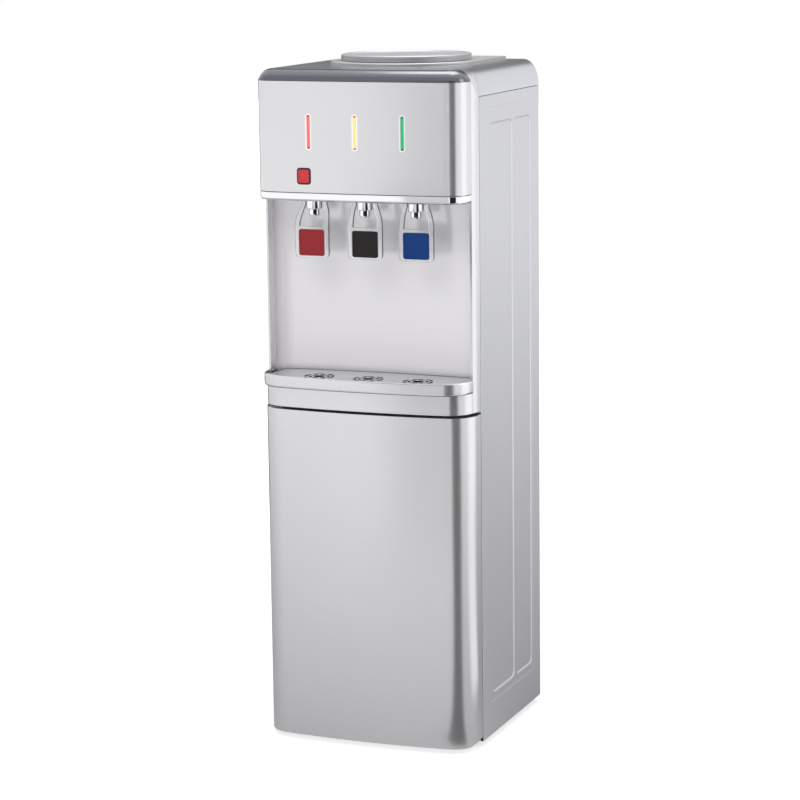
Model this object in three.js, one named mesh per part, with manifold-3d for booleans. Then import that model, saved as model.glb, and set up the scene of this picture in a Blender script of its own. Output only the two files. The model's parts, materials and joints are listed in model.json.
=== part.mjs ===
// Floor-standing water dispenser with three taps, a drip tray and a storage cupboard.
// Millimetres. X to the right, Y to the back, Z up. The front edge of the side panels is y = 0
// and the underside of the cabinet is z = 0 while the pieces are made. At the end everything is
// shifted, so that the origin lies on the floor under the middle of the whole machine.
import * as THREE from "three";
import { mergeVertices } from "three/addons/utils/BufferGeometryUtils.js";
import Module from "manifold-3d";

const wasm = await Module();
wasm.setup();

// Cabinet
const cabinetWidth = 310;
const cabinetDepth = 246.7;
const sheet = 1.2;
const plastic = 2.5;
const seat = 0.3;
const overrun = 6;
const returnFlange = 4.2;
const half = cabinetWidth / 2;

// Heights from the foot of the door to the roof, each from the one below it
const doorHeight = 464;
const bandGap = 4;
const bandBottom = doorHeight + bandGap;
const bandHeight = 28.1;
const bandTop = bandBottom + bandHeight;
const trayBottom = bandTop + seat;
const trayHeight = 17.1;
const trayTop = trayBottom + trayHeight;
const recessHeight = 243.5;
const soffitBottom = trayTop + recessHeight;
const chromeOverlap = 2.9;
const chromeBottom = soffitBottom - chromeOverlap;
const chromeHeight = 11.4;
const headBottom = chromeBottom + chromeHeight + seat;
const headHeight = 149.7;
const headTop = headBottom + headHeight;
const visorBottom = headTop + seat;
const visorHeight = 15.2;
const coverTop = visorBottom + visorHeight;
const coverDrop = 37.3;
const sideHeight = coverTop - coverDrop;

// Embossing of the side panels
const embossFront = 30;
const embossMargin = 30.7;
const embossBack = cabinetDepth - embossMargin;
const embossDrop = 16.7;
const embossTop = sideHeight - embossDrop;
const embossBottom = 47;
const embossDepth = 0.8;
const embossCorner = 9;
const padMargin = 12;
const padGroove = 8;
const padSplit = 137;
const padDrop = 22;
const padTop = embossTop - padDrop;
const padHeight = 0.6;

// Door
const doorFront = -58;
const doorCorner = 38;
const doorBulge = 6.6;
const doorGap = 2;
const doorBottomCorner = 10;
const doorLinerRecess = 6;
const doorLinerBorder = 22;
const hingeInset = 7;
const hingeX = hingeInset - half;
const hingeY = -21;
const hingePinRadius = 2.5;
const hingePinReach = 14;
const hingeBoss = 6;
const hingePlate = 2.1;
const hingePlateWidth = 26;
const hingePlateBack = 34;
const magnetWidth = 36;
const magnetHeight = 12;
const magnetDrop = 134;
const magnetZ = doorHeight - magnetDrop;
const magnetDepth = 1.4;

// Band under the drip tray
const bandEase = 2.8;
const bandHalfWidth = half - bandEase;
const bandFront = -60.5;
const bandCorner = 37;
const bandBulge = 6.4;

// Front frame and dispensing recess
const frameBack = -2.3;
const columnFront = -22.2;
const columnWidth = 7;
const columnInner = half - columnWidth;
const recessEase = 0.5;
const recessHalfWidth = columnInner - recessEase;
const recessDepth = 25;
const recessCorner = 21;
const recessBulge = 6;
const bulkheadFront = -8;

// Head
const headEase = 3.9;
const headHalfWidth = half - headEase;
const headFront = -62.7;
const headCorner = 27;
const headBulge = 3.6;
const chromeWall = 3.4;
const chromeChamfer = 2.4;

// Top cover and visor
const shoulderWidth = 22;
const shoulderHeight = 34;
const visorSetback = 19;
const visorSteps = 4;
const platformHalfWidth = 106;
const platformHeight = 4;
const platformBevel = 2.2;
const wellRadius = 83;

// Bottle seat and lid
const wellMargin = 116.7;
const wellY = cabinetDepth - wellMargin;
const seatFlangeRadius = 87;
const seatWallRadius = 80;
const seatDepth = 26;
const seatWallBottom = coverTop - seatDepth;
const seatConeHeight = 9.4;
const seatConeBottom = seatWallBottom - seatConeHeight;
const seatThroatRadius = 16;
const seatThroatLength = 27.6;
const seatThroatBottom = seatConeBottom - seatThroatLength;
const probeRadius = 9;
const probeRise = 1;
const probeTop = coverTop + probeRise;
const probeSlotWidth = 5;
const probeSlotHeight = 14;
const lidRadius = 91;
const lidHeight = 13.2;
const lidTop = coverTop + lidHeight;
const lidWall = 2.4;
const lidDish = 1.6;
const lidRimWidth = 7;
const lidRingRadius = 60;
const lidRingHeight = 0.6;

// Indicator bars, board and safety button
const barPitch = 67.9;
const barWidth = 4.6;
const barRise = 59.2;
const barBottom = headBottom + barRise;
const barHeight = 45.5;
const barTop = barBottom + barHeight;
const barDepth = 5;
const boardThickness = 1.6;
const boardMargin = 14;
const boardPostRadius = 3;
const buttonX = -75.5;
const buttonRise = 22.2;
const buttonZ = headBottom + buttonRise;
const buttonWidth = 16.6;
const buttonHeight = 18.4;
const buttonCorner = 2;
const buttonProud = 1.4;
const buttonDepth = 9;
const buttonRim = 1.5;
const buttonTravel = 2;
const switchDepth = 7;

// Taps
const tapPitch = 74.4;
const tapY = -29.3;
const tapBodyRadius = 12.2;
const tapBodyHeight = 49;
const tapBodyTop = soffitBottom + tapBodyHeight;
const tapStemRadius = 8;
const tapStemRise = 33;
const tapStemZ = soffitBottom + tapStemRise;
const tapStemBack = 16;
const tapNutRadius = 13;
const tapNutDepth = 5;
const nozzleRadius = 11.2;
const nozzleCollar = 16.1;
const nozzleStep = soffitBottom - nozzleCollar;
const nozzleTipRadius = 7.8;
const nozzleTipLength = 9.5;
const nozzleBottom = nozzleStep - nozzleTipLength;
const nozzleBore = 4.2;
const nozzleRounding = 1.6;
const pivotRise = 11;
const pivotZ = soffitBottom + pivotRise;
const pivotRadius = 2;
const pivotReach = 18.6;

// Levers
const leverHalfWidth = 25;
const leverArmDrop = 10;
const leverArmTop = soffitBottom - leverArmDrop;
const leverArmLength = 30.4;
const leverPadTop = leverArmTop - leverArmLength;
const leverPadHeight = 43.6;
const leverBottom = leverPadTop - leverPadHeight;
const leverArmOuter = 18.5;
const leverArmInner = 12.8;
const leverWindowHalf = 18;
const leverThickness = 4;
const leverFront = -31.3;
const leverCorner = 7;
const leverEyeRadius = 5;
const padWidth = 37.4;
const padRise = 3.4;
const padBottom = leverBottom + padRise;
const padEdge = 35.8;
const padTopEdge = padBottom + padEdge;
const padCorner = 3;
const padThickness = 2.2;
const padShiftHot = -4.5;

// Drip tray and grille
const trayHalfWidth = bandHalfWidth;
const trayFront = -73.5;
const trayCorner = 41;
const trayBulge = 6;
const trayEdge = 1.6;
const trayWall = 2.4;
const trayFloor = 2;
const trayBackGap = 0.7;
const trayEase = 1.4;
const trayBackHalf = columnInner - trayEase;
const grilleDrop = 4.1;
const grilleTop = trayTop - grilleDrop;
const grilleThickness = 2.2;
const grilleLedge = 2.2;
const drainPitch = 73;
const drainX = 2.3;
const drainY = -35;
const drainCentreRadius = 6;
const drainRingRadii = [12.5, 19.5];
const drainSlotWidth = 3.4;
const drainSlotShare = 0.74;
const drainSlotCount = 6;

// Storage cupboard
const cupboardMargin = 15;
const cupboardHalfWidth = half - cupboardMargin;
const cupboardMarginBack = 96.7;
const cupboardBack = cabinetDepth - cupboardMarginBack;
const cupboardBottom = 12;
const cupboardDrop = 12;
const cupboardTop = doorHeight - cupboardDrop;
const cupboardCorner = 12;
const linerWall = 2;
const linerDrop = 3;
const linerFlangeTop = doorHeight - linerDrop;

// Base, feet and inner decks
const panFlange = 26;
const footHeight = 8;
const footRadius = 14;
const footInset = 43;
const footX = half - footInset;
const footFrontY = 26;
const footBackY = cabinetDepth - embossMargin;
const deckDrop = 1;
const deckTop = bandBottom - deckDrop;
const deckFront = 32;
const deckFlange = 14;
const bracketDrop = 69;
const bracketTop = soffitBottom - bracketDrop;
const bracketWindow = 42;

// Tanks
const coldTankRadius = 72;
const coldTankRise = 28;
const coldTankBottom = bracketTop + coldTankRise;
const coldTankDrop = 2.6;
const coldTankTop = seatConeBottom - coldTankDrop;
const tankWall = 1;
const foamRadius = 96;
const foamDrop = 3;
const foamTop = coldTankTop - foamDrop;
const hotTankRadius = 55;
const hotTankRise = 17;
const hotTankBottom = deckTop + hotTankRise;
const hotTankHeight = 146;
const hotTankTop = hotTankBottom + hotTankHeight;
const hotTankDome = 9;
const hotLegWidth = 12;
const hotLegSpread = 38;

// Refrigeration
const compressorX = -34;
const compressorMargin = 47.7;
const compressorY = cabinetDepth - compressorMargin;
const compressorRadius = 52;
const compressorFlatShare = 0.8;
const compressorLengthShare = 1.2;
const compressorBottom = 22;
const compressorTop = 168;
const compressorDome = 24;
const compressorSeam = 2.4;
const compressorFootX = 70;
const compressorFootY = 30;
const compressorPlate = 2.5;
const compressorFootRadius = 8;
const condenserMargin = 37;
const condenserHalfWidth = half - condenserMargin;
const drainPipeRise = 12.3;
const drainPipeZ = hotTankBottom + drainPipeRise;
const runPitch = 42.86;
const runsUnderDrainCount = 8.5;
const condenserRuns = 15;
const condenserBottom = drainPipeZ - runsUnderDrainCount * runPitch;
const condenserTop = condenserBottom + (condenserRuns - 1) * runPitch;
const condenserTube = 2.6;
const condenserStandoff = 9.3;
const condenserWires = 12;
const wireWidth = 1.6;
const strapHeight = 12;
const strapInset = 70;
const strapEase = 2.6;
const strapReach = half - strapEase;
const drierOffset = 14;
const drierRadius = 9;
const drierLength = 78;
const drierNeck = 3.2;
const drierTaper = 8;

// Rear fittings
const backPanelDrop = 27;
const backPanelBottom = deckTop - backPanelDrop;
const switchX = 0;
const switchRise = 45;
const switchZ = soffitBottom + switchRise;
const switchWidth = 72;
const switchHeight = 38;
const switchDepthBack = 17;
const switchLip = 3;
const rockerPitch = 30;
const rockerWidth = 20;
const rockerHeight = 27;
const rockerTilt = 8;
const rockerThickness = 6;
const rockerPinRadius = 1.6;
const rockerPinInset = 7;
const wirePitch = (2 * condenserHalfWidth) / condenserWires;
const drainPipeX = 4 * wirePitch;
const drainPipeRadius = 5.5;
const drainPipeBore = 3.5;
const drainCapRadius = 7.5;
const drainCapLength = 10.5;
const glandInset = 43;
const glandX = half - glandInset;
const glandZ = 16;
const glandRadius = 7.5;
const glandFlange = 11;
const glandLength = 12;
const glandBore = 3.6;

// Facets
const arcSteps = 4;
const roundSteps = 24;
const smallSteps = 12;
const cornerSteps = 2;
const leverSteps = 3;
const tankSteps = 18;
const pinSteps = 8;
const bendSteps = 4;
const tubeSides = 6;
const weldDistance = 1e-4;
const samePoint = 1e-6;

// Colours, roughness and metalness
function finish(color, roughness, metalness) {
  return new THREE.MeshStandardMaterial({ color, roughness, metalness });
}
const silverPaint = () => finish(0xd5d5da, 0.38, 0.35);
const sidePaint = () => finish(0xd0d1d6, 0.45, 0.2);
const recessPaint = () => finish(0xcbcad0, 0.42, 0.25);
const smokedSilver = () => finish(0x9a9da5, 0.28, 0.45);
const polishedChrome = () => finish(0xe6e6ea, 0.08, 1);
const whitePlastic = () => finish(0xe9e9ea, 0.5, 0);
const darkPlastic = () => finish(0x2c2b2d, 0.5, 0);
const clearPlastic = () => finish(0xdfe4ea, 0.1, 0);
const stainless = () => finish(0xb9bbbe, 0.3, 1);
const galvanised = () => finish(0xa9adb1, 0.45, 0.9);
const blackEnamel = () => finish(0x1b1b1c, 0.45, 0.2);
const rubberBlack = () => finish(0x202021, 0.85, 0);
const whiteFoam = () => finish(0xf1f1ee, 0.9, 0);

// Makes a closed geometry into a solid that can be joined and cut
function solid(geometry) {
  const bare = geometry.clone();
  bare.deleteAttribute("normal");
  bare.deleteAttribute("uv");
  const welded = mergeVertices(bare, weldDistance);
  const place = welded.attributes.position;
  const corner = [0, 1, 2].map(() => new THREE.Vector3());
  const triangles = [];
  let volume = 0;
  for (let i = 0; i < welded.index.count; i += 3) {
    const [a, b, c] = [0, 1, 2].map((k) => welded.index.getX(i + k));
    if (a !== b && b !== c && c !== a) {
      [a, b, c].forEach((vertex, k) => corner[k].fromBufferAttribute(place, vertex));
      volume += corner[0].dot(corner[1].clone().cross(corner[2]));
      triangles.push(a, b, c);
    }
  }
  if (volume < 0) {
    triangles.reverse();
  }
  return new wasm.Manifold(new wasm.Mesh({
    numProp: 3,
    vertProperties: new Float32Array(place.array),
    triVerts: new Uint32Array(triangles),
  }));
}

// Gives a solid back as a named mesh
function piece(name, body, material) {
  const mesh = body.getMesh();
  const geometry = new THREE.BufferGeometry();
  geometry.setAttribute("position", new THREE.BufferAttribute(mesh.vertProperties, 3));
  geometry.setIndex(new THREE.BufferAttribute(mesh.triVerts, 1));
  geometry.computeVertexNormals();
  const part = new THREE.Mesh(geometry, material);
  part.name = name;
  return part;
}

const join = (...bodies) => bodies.reduce((sum, body) => sum.add(body));
const cut = (body, ...tools) => tools.reduce((rest, tool) => rest.subtract(tool), body);

function box(x0, x1, y0, y1, z0, z1) {
  const block = new THREE.BoxGeometry(x1 - x0, y1 - y0, z1 - z0);
  return solid(block.translate((x0 + x1) / 2, (y0 + y1) / 2, (z0 + z1) / 2));
}

// Raises a plan outline (x, y) from z0 to z1
function raise(outline, z0, z1, segments = arcSteps) {
  const body = new THREE.ExtrudeGeometry(outline, {
    depth: z1 - z0, bevelEnabled: false, curveSegments: segments,
  });
  return solid(body.translate(0, 0, z0));
}

// Runs a front-view outline (x, z) from y0 to y1
function runBack(outline, y0, y1, segments = arcSteps) {
  const body = new THREE.ExtrudeGeometry(outline, {
    depth: y1 - y0, bevelEnabled: false, curveSegments: segments,
  });
  return solid(body.rotateX(Math.PI / 2).translate(0, y1, 0));
}

// Runs a side-view outline (y, z) from x0 to x1
const sideOn = new THREE.Matrix4().makeBasis(
  new THREE.Vector3(0, 1, 0), new THREE.Vector3(0, 0, 1), new THREE.Vector3(1, 0, 0));
function runAcross(outline, x0, x1, segments = arcSteps) {
  const body = new THREE.ExtrudeGeometry(outline, {
    depth: x1 - x0, bevelEnabled: false, curveSegments: segments,
  });
  return solid(body.applyMatrix4(sideOn).translate(x0, 0, 0));
}

// Turns a closed profile of [radius, z] about the vertical axis
function turn(profile, segments = roundSteps) {
  const points = profile.map(([r, z]) => new THREE.Vector2(r, z));
  if (points[0].x > 0) {
    points.push(points[0].clone());
  }
  return solid(new THREE.LatheGeometry(points, segments).rotateX(Math.PI / 2));
}

function upright(radius, x, y, z0, z1, segments = smallSteps) {
  const rod = new THREE.CylinderGeometry(radius, radius, z1 - z0, segments);
  return solid(rod.rotateX(Math.PI / 2).translate(x, y, (z0 + z1) / 2));
}

function rodBack(radius, x, z, y0, y1, segments = smallSteps) {
  const rod = new THREE.CylinderGeometry(radius, radius, y1 - y0, segments);
  return solid(rod.translate(x, (y0 + y1) / 2, z));
}

function rodAcross(radius, y, z, x0, x1, segments = smallSteps) {
  const rod = new THREE.CylinderGeometry(radius, radius, x1 - x0, segments);
  return solid(rod.rotateZ(Math.PI / 2).translate((x0 + x1) / 2, y, z));
}

function roundedRectangle(x0, x1, y0, y1, radius) {
  const shape = new THREE.Shape();
  shape.moveTo(x0 + radius, y0);
  shape.lineTo(x1 - radius, y0);
  shape.absarc(x1 - radius, y0 + radius, radius, -Math.PI / 2, 0, false);
  shape.lineTo(x1, y1 - radius);
  shape.absarc(x1 - radius, y1 - radius, radius, 0, Math.PI / 2, false);
  shape.lineTo(x0 + radius, y1);
  shape.absarc(x0 + radius, y1 - radius, radius, Math.PI / 2, Math.PI, false);
  shape.lineTo(x0, y0 + radius);
  shape.absarc(x0 + radius, y0 + radius, radius, Math.PI, Math.PI * 1.5, false);
  return shape;
}

// Plan outline of a bowed front: two corner arcs that run smoothly into one wide flat arc.
// All insets run parallel to the outline. It is closed by a straight line at y = back.
function bowed({ width, front, corner, bulge }, inset, back) {
  const straight = width - corner;
  const lean = 2 * Math.atan(bulge / straight);
  const radius = corner - inset;
  const reach = straight + radius * Math.sin(lean);
  const wide = reach / Math.sin(lean);
  const centre = front + inset + wide;
  const cornerY = centre - wide * Math.cos(lean) + radius * Math.cos(lean);
  const shape = new THREE.Shape();
  shape.moveTo(width - inset, back);
  shape.lineTo(width - inset, cornerY);
  shape.absarc(straight, cornerY, radius, 0, lean - Math.PI / 2, true);
  shape.absarc(0, centre, wide, lean - Math.PI / 2, -lean - Math.PI / 2, true);
  shape.absarc(-straight, cornerY, radius, -lean - Math.PI / 2, -Math.PI, true);
  shape.lineTo(inset - width, back);
  return shape;
}

const doorBow = { width: half, front: doorFront, corner: doorCorner, bulge: doorBulge };
const bandBow = { width: bandHalfWidth, front: bandFront, corner: bandCorner, bulge: bandBulge };
const headBow = { width: headHalfWidth, front: headFront, corner: headCorner, bulge: headBulge };
const trayBow = { width: trayHalfWidth, front: trayFront, corner: trayCorner, bulge: trayBulge };

// The recess is the same kind of outline turned round, so it is drawn forward and mirrored
const recessBow = {
  width: recessHalfWidth, front: -recessDepth, corner: recessCorner, bulge: recessBulge,
};
function raiseRecess(inset, frontEnd, z0, z1) {
  return raise(bowed(recessBow, inset, -frontEnd), z0, z1).mirror([0, 1, 0]);
}

// Points of an outline, anticlockwise and without repeats
function ringPoints(outline) {
  const points = outline.getPoints(arcSteps)
    .filter((point, i, all) => point.distanceTo(all[(i + 1) % all.length]) > samePoint);
  return THREE.ShapeUtils.isClockWise(points) ? points.reverse() : points;
}

// Skin over a stack of outlines with equal point counts, capped at both ends
function loft(levels) {
  const rings = levels.map(({ outline, z }) => ringPoints(outline)
    .map((point) => new THREE.Vector3(point.x, point.y, z)));
  const count = rings[0].length;
  const positions = rings.flat().flatMap((point) => point.toArray());
  const faces = [];
  for (let level = 0; level + 1 < rings.length; level += 1) {
    for (let i = 0; i < count; i += 1) {
      const a = level * count + i;
      const b = level * count + (i + 1) % count;
      faces.push(a, b, a + count, b, b + count, a + count);
    }
  }
  const cap = THREE.ShapeUtils.triangulateShape(ringPoints(levels[0].outline), []);
  const last = (rings.length - 1) * count;
  for (const [a, b, c] of cap) {
    faces.push(a, c, b, last + a, last + b, last + c);
  }
  const geometry = new THREE.BufferGeometry();
  geometry.setAttribute("position", new THREE.Float32BufferAttribute(positions, 3));
  geometry.setIndex(faces);
  return solid(geometry);
}

const group = new THREE.Group();
const add = (name, body, material) => group.add(piece(name, body, material));
const mirrored = (body) => body.mirror([1, 0, 0]);

// Side panels: pressed sheet with a folded edge at the front and the back. A shallow field is
// pressed inwards over most of the panel, and two wide pads stand up again inside it.
function sidePanel() {
  const skin = half - sheet;
  const plate = join(
    box(skin, half, 0, cabinetDepth, 0, sideHeight),
    box(half - returnFlange, half, 0, sheet, 0, sideHeight),
    box(half - returnFlange, half, cabinetDepth - sheet, cabinetDepth, 0, sideHeight),
  );
  const field = (inset, x0, x1) => runAcross(roundedRectangle(
    embossFront + inset, embossBack - inset, embossBottom + inset, embossTop - inset,
    embossCorner), x0, x1, cornerSteps);
  const pad = (y0, y1) => runAcross(roundedRectangle(
    y0, y1, embossBottom + padMargin, padTop, embossCorner),
    half - embossDepth - sheet / 2, half - embossDepth + padHeight, cornerSteps);
  const pressed = join(plate, field(-sheet, skin - embossDepth, skin + sheet / 2));
  return join(
    cut(pressed, field(0, half - embossDepth, half + overrun)),
    pad(embossFront + padMargin, padSplit - padGroove / 2),
    pad(padSplit + padGroove / 2, embossBack - padMargin / 2),
  );
}
add("side_panel_right", sidePanel(), sidePaint());
add("side_panel_left", mirrored(sidePanel()), sidePaint());

// Base pan with upturned edges, and four feet
const innerHalf = half - sheet - embossDepth - seat;
const innerBack = cabinetDepth - sheet - seat;
const panFront = 2 * sheet + linerWall;
add("base_pan", cut(
  box(-innerHalf, innerHalf, panFront, innerBack, 0, panFlange),
  box(sheet - innerHalf, innerHalf - sheet, panFront + sheet, innerBack - sheet,
    sheet, panFlange + overrun),
  box(sheet - innerHalf, innerHalf - sheet, panFront - overrun, cupboardBack,
    cupboardBottom - linerWall - seat, panFlange + overrun),
  rodBack(glandRadius + seat, glandX, glandZ, innerBack - overrun, innerBack + overrun),
), galvanised());
for (const [name, x, y] of [
  ["foot_front_left", -footX, footFrontY], ["foot_front_right", footX, footFrontY],
  ["foot_back_left", -footX, footBackY], ["foot_back_right", footX, footBackY],
]) {
  add(name, turn([
    [0, -footHeight], [footRadius * 0.9, -footHeight], [footRadius, -footHeight * 0.85],
    [footRadius, -seat], [0, -seat],
  ], smallSteps).translate([x, y, 0]), rubberBlack());
}

// Back panel above the machine bay
add("back_panel", cut(
  box(-innerHalf, innerHalf, innerBack - sheet, innerBack, backPanelBottom, sideHeight),
  box(switchX - switchWidth / 2 - seat, switchX + switchWidth / 2 + seat,
    innerBack - overrun, innerBack + overrun,
    switchZ - switchHeight / 2 - seat, switchZ + switchHeight / 2 + seat),
  rodBack(drainPipeRadius + seat, drainPipeX, drainPipeZ,
    innerBack - overrun, innerBack + overrun),
), galvanised());

// Crown: the curved body that the top cover, the visor and the frame's shoulders are cut from
const shoulderZ = coverTop - shoulderHeight;
function shoulderHalf(z, inset) {
  const rise = Math.min(Math.max((z - shoulderZ) / (shoulderHeight - inset), 0), 1);
  return half - shoulderWidth + (shoulderWidth - inset) * Math.sqrt(1 - rise * rise);
}
function crownLevel(step, inset) {
  const angle = (step / visorSteps) * (Math.PI / 2);
  const z = visorBottom + (coverTop - inset - visorBottom) * Math.sin(angle);
  const setback = (visorSetback - inset) * (1 - Math.cos(angle)) + inset;
  const width = Math.min(shoulderHalf(z, inset), headHalfWidth - inset);
  return {
    outline: bowed({
      width, front: headFront + setback, corner: headCorner - setback, bulge: headBulge,
    }, 0, cabinetDepth - inset),
    z,
  };
}
function crown(inset) {
  const levels = Array.from({ length: visorSteps + 1 }, (_, step) => crownLevel(step, inset));
  const front = loft(inset > 0
    ? [{ outline: levels[0].outline, z: visorBottom - overrun }, ...levels] : levels);
  const arch = new THREE.Shape();
  const low = sideHeight + seat - (inset > 0 ? overrun : 0);
  const turnZ = shoulderZ;
  arch.moveTo(half - inset, low);
  arch.lineTo(half - inset, turnZ);
  arch.absellipse(half - shoulderWidth, turnZ, shoulderWidth - inset, shoulderHeight - inset,
    0, Math.PI / 2, false);
  arch.lineTo(shoulderWidth - half, coverTop - inset);
  arch.absellipse(shoulderWidth - half, turnZ, shoulderWidth - inset, shoulderHeight - inset,
    Math.PI / 2, Math.PI, false);
  arch.lineTo(inset - half, low);
  const archFront = columnFront - (inset > 0 ? overrun : 0);
  return join(front, runBack(arch, archFront, cabinetDepth - inset));
}
const crownSkin = cut(crown(0), crown(plastic));
const topOutline = (inset) => bowed({
  width: shoulderHalf(coverTop, 0), front: headFront + visorSetback,
  corner: headCorner - visorSetback, bulge: headBulge,
}, inset, cabinetDepth);
const topField = (inset) => raise(topOutline(inset), visorBottom - overrun, coverTop + overrun);
const span = half + overrun;
const roof = coverTop + overrun;

// Visor: the dark curved cap above the head panel
add("visor", cut(
  crownSkin.intersect(box(-span, span, headFront - overrun, columnFront - seat,
    visorBottom, roof)),
  topField(0),
), smokedSilver());

// Front frame: two columns, the shoulders above them, the bulkhead that carries the taps and
// the soffit over the recess, in one moulding
function column() {
  const plan = new THREE.Shape();
  plan.moveTo(columnInner, frameBack);
  plan.lineTo(half, frameBack);
  plan.quadraticCurveTo(half, (frameBack + columnFront) / 2, headHalfWidth, columnFront);
  plan.lineTo(columnInner, columnFront);
  const arch = box(-half, half, columnFront - overrun, 0, bandBottom, shoulderZ);
  return raise(plan, bandBottom, visorBottom).intersect(join(arch, crown(0)));
}
const bulkheadBack = bulkheadFront + plastic;
const soffitTop = soffitBottom + plastic;
const shoulders = cut(
  crownSkin.intersect(box(-span, span, columnFront, frameBack, sideHeight, roof)),
  topField(0),
);
const tapXs = [-tapPitch, 0, tapPitch];
const tapHoles = tapXs.flatMap((x) => [
  box(x - leverArmOuter - 2 * seat, x + leverArmOuter + 2 * seat,
    tapY - tapBodyRadius - leverThickness, tapY + tapBodyRadius + leverThickness,
    soffitBottom - overrun, soffitTop + overrun),
  rodBack(tapStemRadius + seat, x, tapStemZ, bulkheadFront - overrun, bulkheadBack + overrun),
]);
add("front_frame", cut(
  join(
    column(),
    mirrored(column()),
    shoulders,
    box(-columnInner - seat, columnInner + seat, bulkheadFront, bulkheadBack,
      soffitBottom, coverTop - 2 * plastic),
    raise(bowed(headBow, chromeWall + seat, bulkheadBack), soffitBottom, soffitTop)
      .intersect(box(-headHalfWidth, headHalfWidth, headFront, bulkheadBack,
        soffitBottom, soffitTop)),
  ),
  ...tapHoles,
), silverPaint());

// Recess panel: dished back wall with its own ceiling
add("recess_panel", join(
  cut(
    raiseRecess(-plastic, frameBack + seat, bandBottom + 2 * seat, soffitBottom),
    raiseRecess(0, frameBack - overrun, bandBottom - overrun, soffitBottom + overrun),
  ),
  raiseRecess(0, bulkheadBack + seat, soffitBottom - plastic, soffitBottom),
), recessPaint());

// Head panel with its openings, and posts that carry the indicator board
const barXs = [-barPitch, 0, barPitch];
const boardFront = headFront + barDepth + plastic;
function barOutline(x, margin) {
  return roundedRectangle(x - barWidth / 2 - margin, x + barWidth / 2 + margin,
    barBottom - margin, barTop + margin, barWidth / 2 + margin);
}
function buttonOutline(margin) {
  return roundedRectangle(
    buttonX - buttonWidth / 2 - margin, buttonX + buttonWidth / 2 + margin,
    buttonZ - buttonHeight / 2 - margin, buttonZ + buttonHeight / 2 + margin,
    buttonCorner + margin);
}
const barZ = (barBottom + barTop) / 2;
add("head_panel", cut(
  join(
    cut(
      raise(bowed(headBow, 0, columnFront - seat), headBottom, headTop),
      raise(bowed(headBow, plastic, columnFront + overrun), headBottom - overrun,
        headTop + overrun),
    ),
    ...[-barPitch / 2, barPitch / 2].map((x) => rodBack(boardPostRadius, x, barZ,
      headFront + plastic / 2, boardFront - seat, smallSteps / 2)),
  ),
  ...barXs.map((x) => runBack(barOutline(x, seat), headFront - overrun, boardFront,
    cornerSteps)),
  runBack(buttonOutline(buttonRim + 2 * seat), headFront - overrun, boardFront,
    cornerSteps),
), silverPaint());

// Chrome strip round the foot of the head, with a bevelled lower edge
const stripTop = headBottom - seat;
add("chrome_strip", cut(
  loft([
    { outline: bowed(headBow, chromeChamfer, columnFront - seat), z: chromeBottom },
    { outline: bowed(headBow, 0, columnFront - seat), z: chromeBottom + chromeChamfer },
    { outline: bowed(headBow, 0, columnFront - seat), z: stripTop },
  ]),
  raise(bowed(headBow, chromeWall, columnFront + overrun), chromeBottom - overrun,
    stripTop + overrun),
), polishedChrome());

// Indicator bars, flush with the bowed panel, and the board behind them
const headSolid = raise(bowed(headBow, 0, columnFront), headBottom, headTop);
const barColours = [0xf06e69, 0xfad782, 0x1ea069];
["hot", "power", "cold"].forEach((use, i) => {
  add(`light_bar_${use}`, runBack(barOutline(barXs[i], 0), headFront - overrun,
    boardFront - seat, cornerSteps).intersect(headSolid), finish(barColours[i], 0.25, 0));
});
add("indicator_board", box(-barPitch - boardMargin, barPitch + boardMargin,
  boardFront, boardFront + boardThickness, barBottom - boardMargin / 2,
  barTop + boardMargin / 2), finish(0x1f5a3a, 0.6, 0));

// Hot water safety button in a housing whose dark rim shows round it
const headLean = headBulge * (buttonX / (headHalfWidth - headCorner)) ** 2;
const buttonFace = headFront + headLean - buttonProud;
const rimFace = buttonFace + buttonProud / 2;
const rimBack = headFront + headLean + plastic + 2 * seat;
const buttonRing = (margin, y0, y1) => runBack(buttonOutline(margin), y0, y1, cornerSteps);
const housingFront = buttonFace + buttonDepth + buttonTravel + seat;
add("button_housing", cut(
  join(
    buttonRing(buttonRim + seat, rimFace, rimBack + plastic),
    buttonRing(2 * buttonRim + seat, rimBack, housingFront + switchDepth),
  ),
  buttonRing(seat, rimFace - overrun, housingFront),
), darkPlastic());
add("lock_button", buttonRing(0, buttonFace, buttonFace + buttonDepth), finish(0xd72832, 0.35, 0));

// Taps: valve body with pivot pins and a threaded stem through the bulkhead, and the nozzle
const nozzleTop = soffitBottom - seat;
const nozzleProfile = [
  [nozzleBore, nozzleBottom], [nozzleTipRadius - nozzleRounding, nozzleBottom],
  [nozzleTipRadius, nozzleBottom + nozzleRounding], [nozzleTipRadius, nozzleStep],
  [nozzleRadius - nozzleRounding / 2, nozzleStep],
  [nozzleRadius, nozzleStep + nozzleRounding / 2], [nozzleRadius, nozzleTop],
  [nozzleBore, nozzleTop],
];
const tapUses = ["hot", "ambient", "cold"];
tapXs.forEach((x, i) => {
  add(`tap_valve_${tapUses[i]}`, join(
    upright(tapBodyRadius, x, tapY, soffitBottom, tapBodyTop),
    rodAcross(pivotRadius, tapY, pivotZ, x - pivotReach, x + pivotReach, pinSteps),
    rodBack(tapStemRadius, x, tapStemZ, tapY, tapStemBack, pinSteps),
    rodBack(tapNutRadius, x, tapStemZ, bulkheadFront - seat - tapNutDepth,
      bulkheadFront - seat, pinSteps),
    rodBack(tapNutRadius, x, tapStemZ, bulkheadBack + seat,
      bulkheadBack + seat + tapNutDepth, 6),
  ), whitePlastic());
  add(`tap_nozzle_${tapUses[i]}`, turn(nozzleProfile, smallSteps)
    .translate([x, tapY, 0]), polishedChrome());
});

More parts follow.
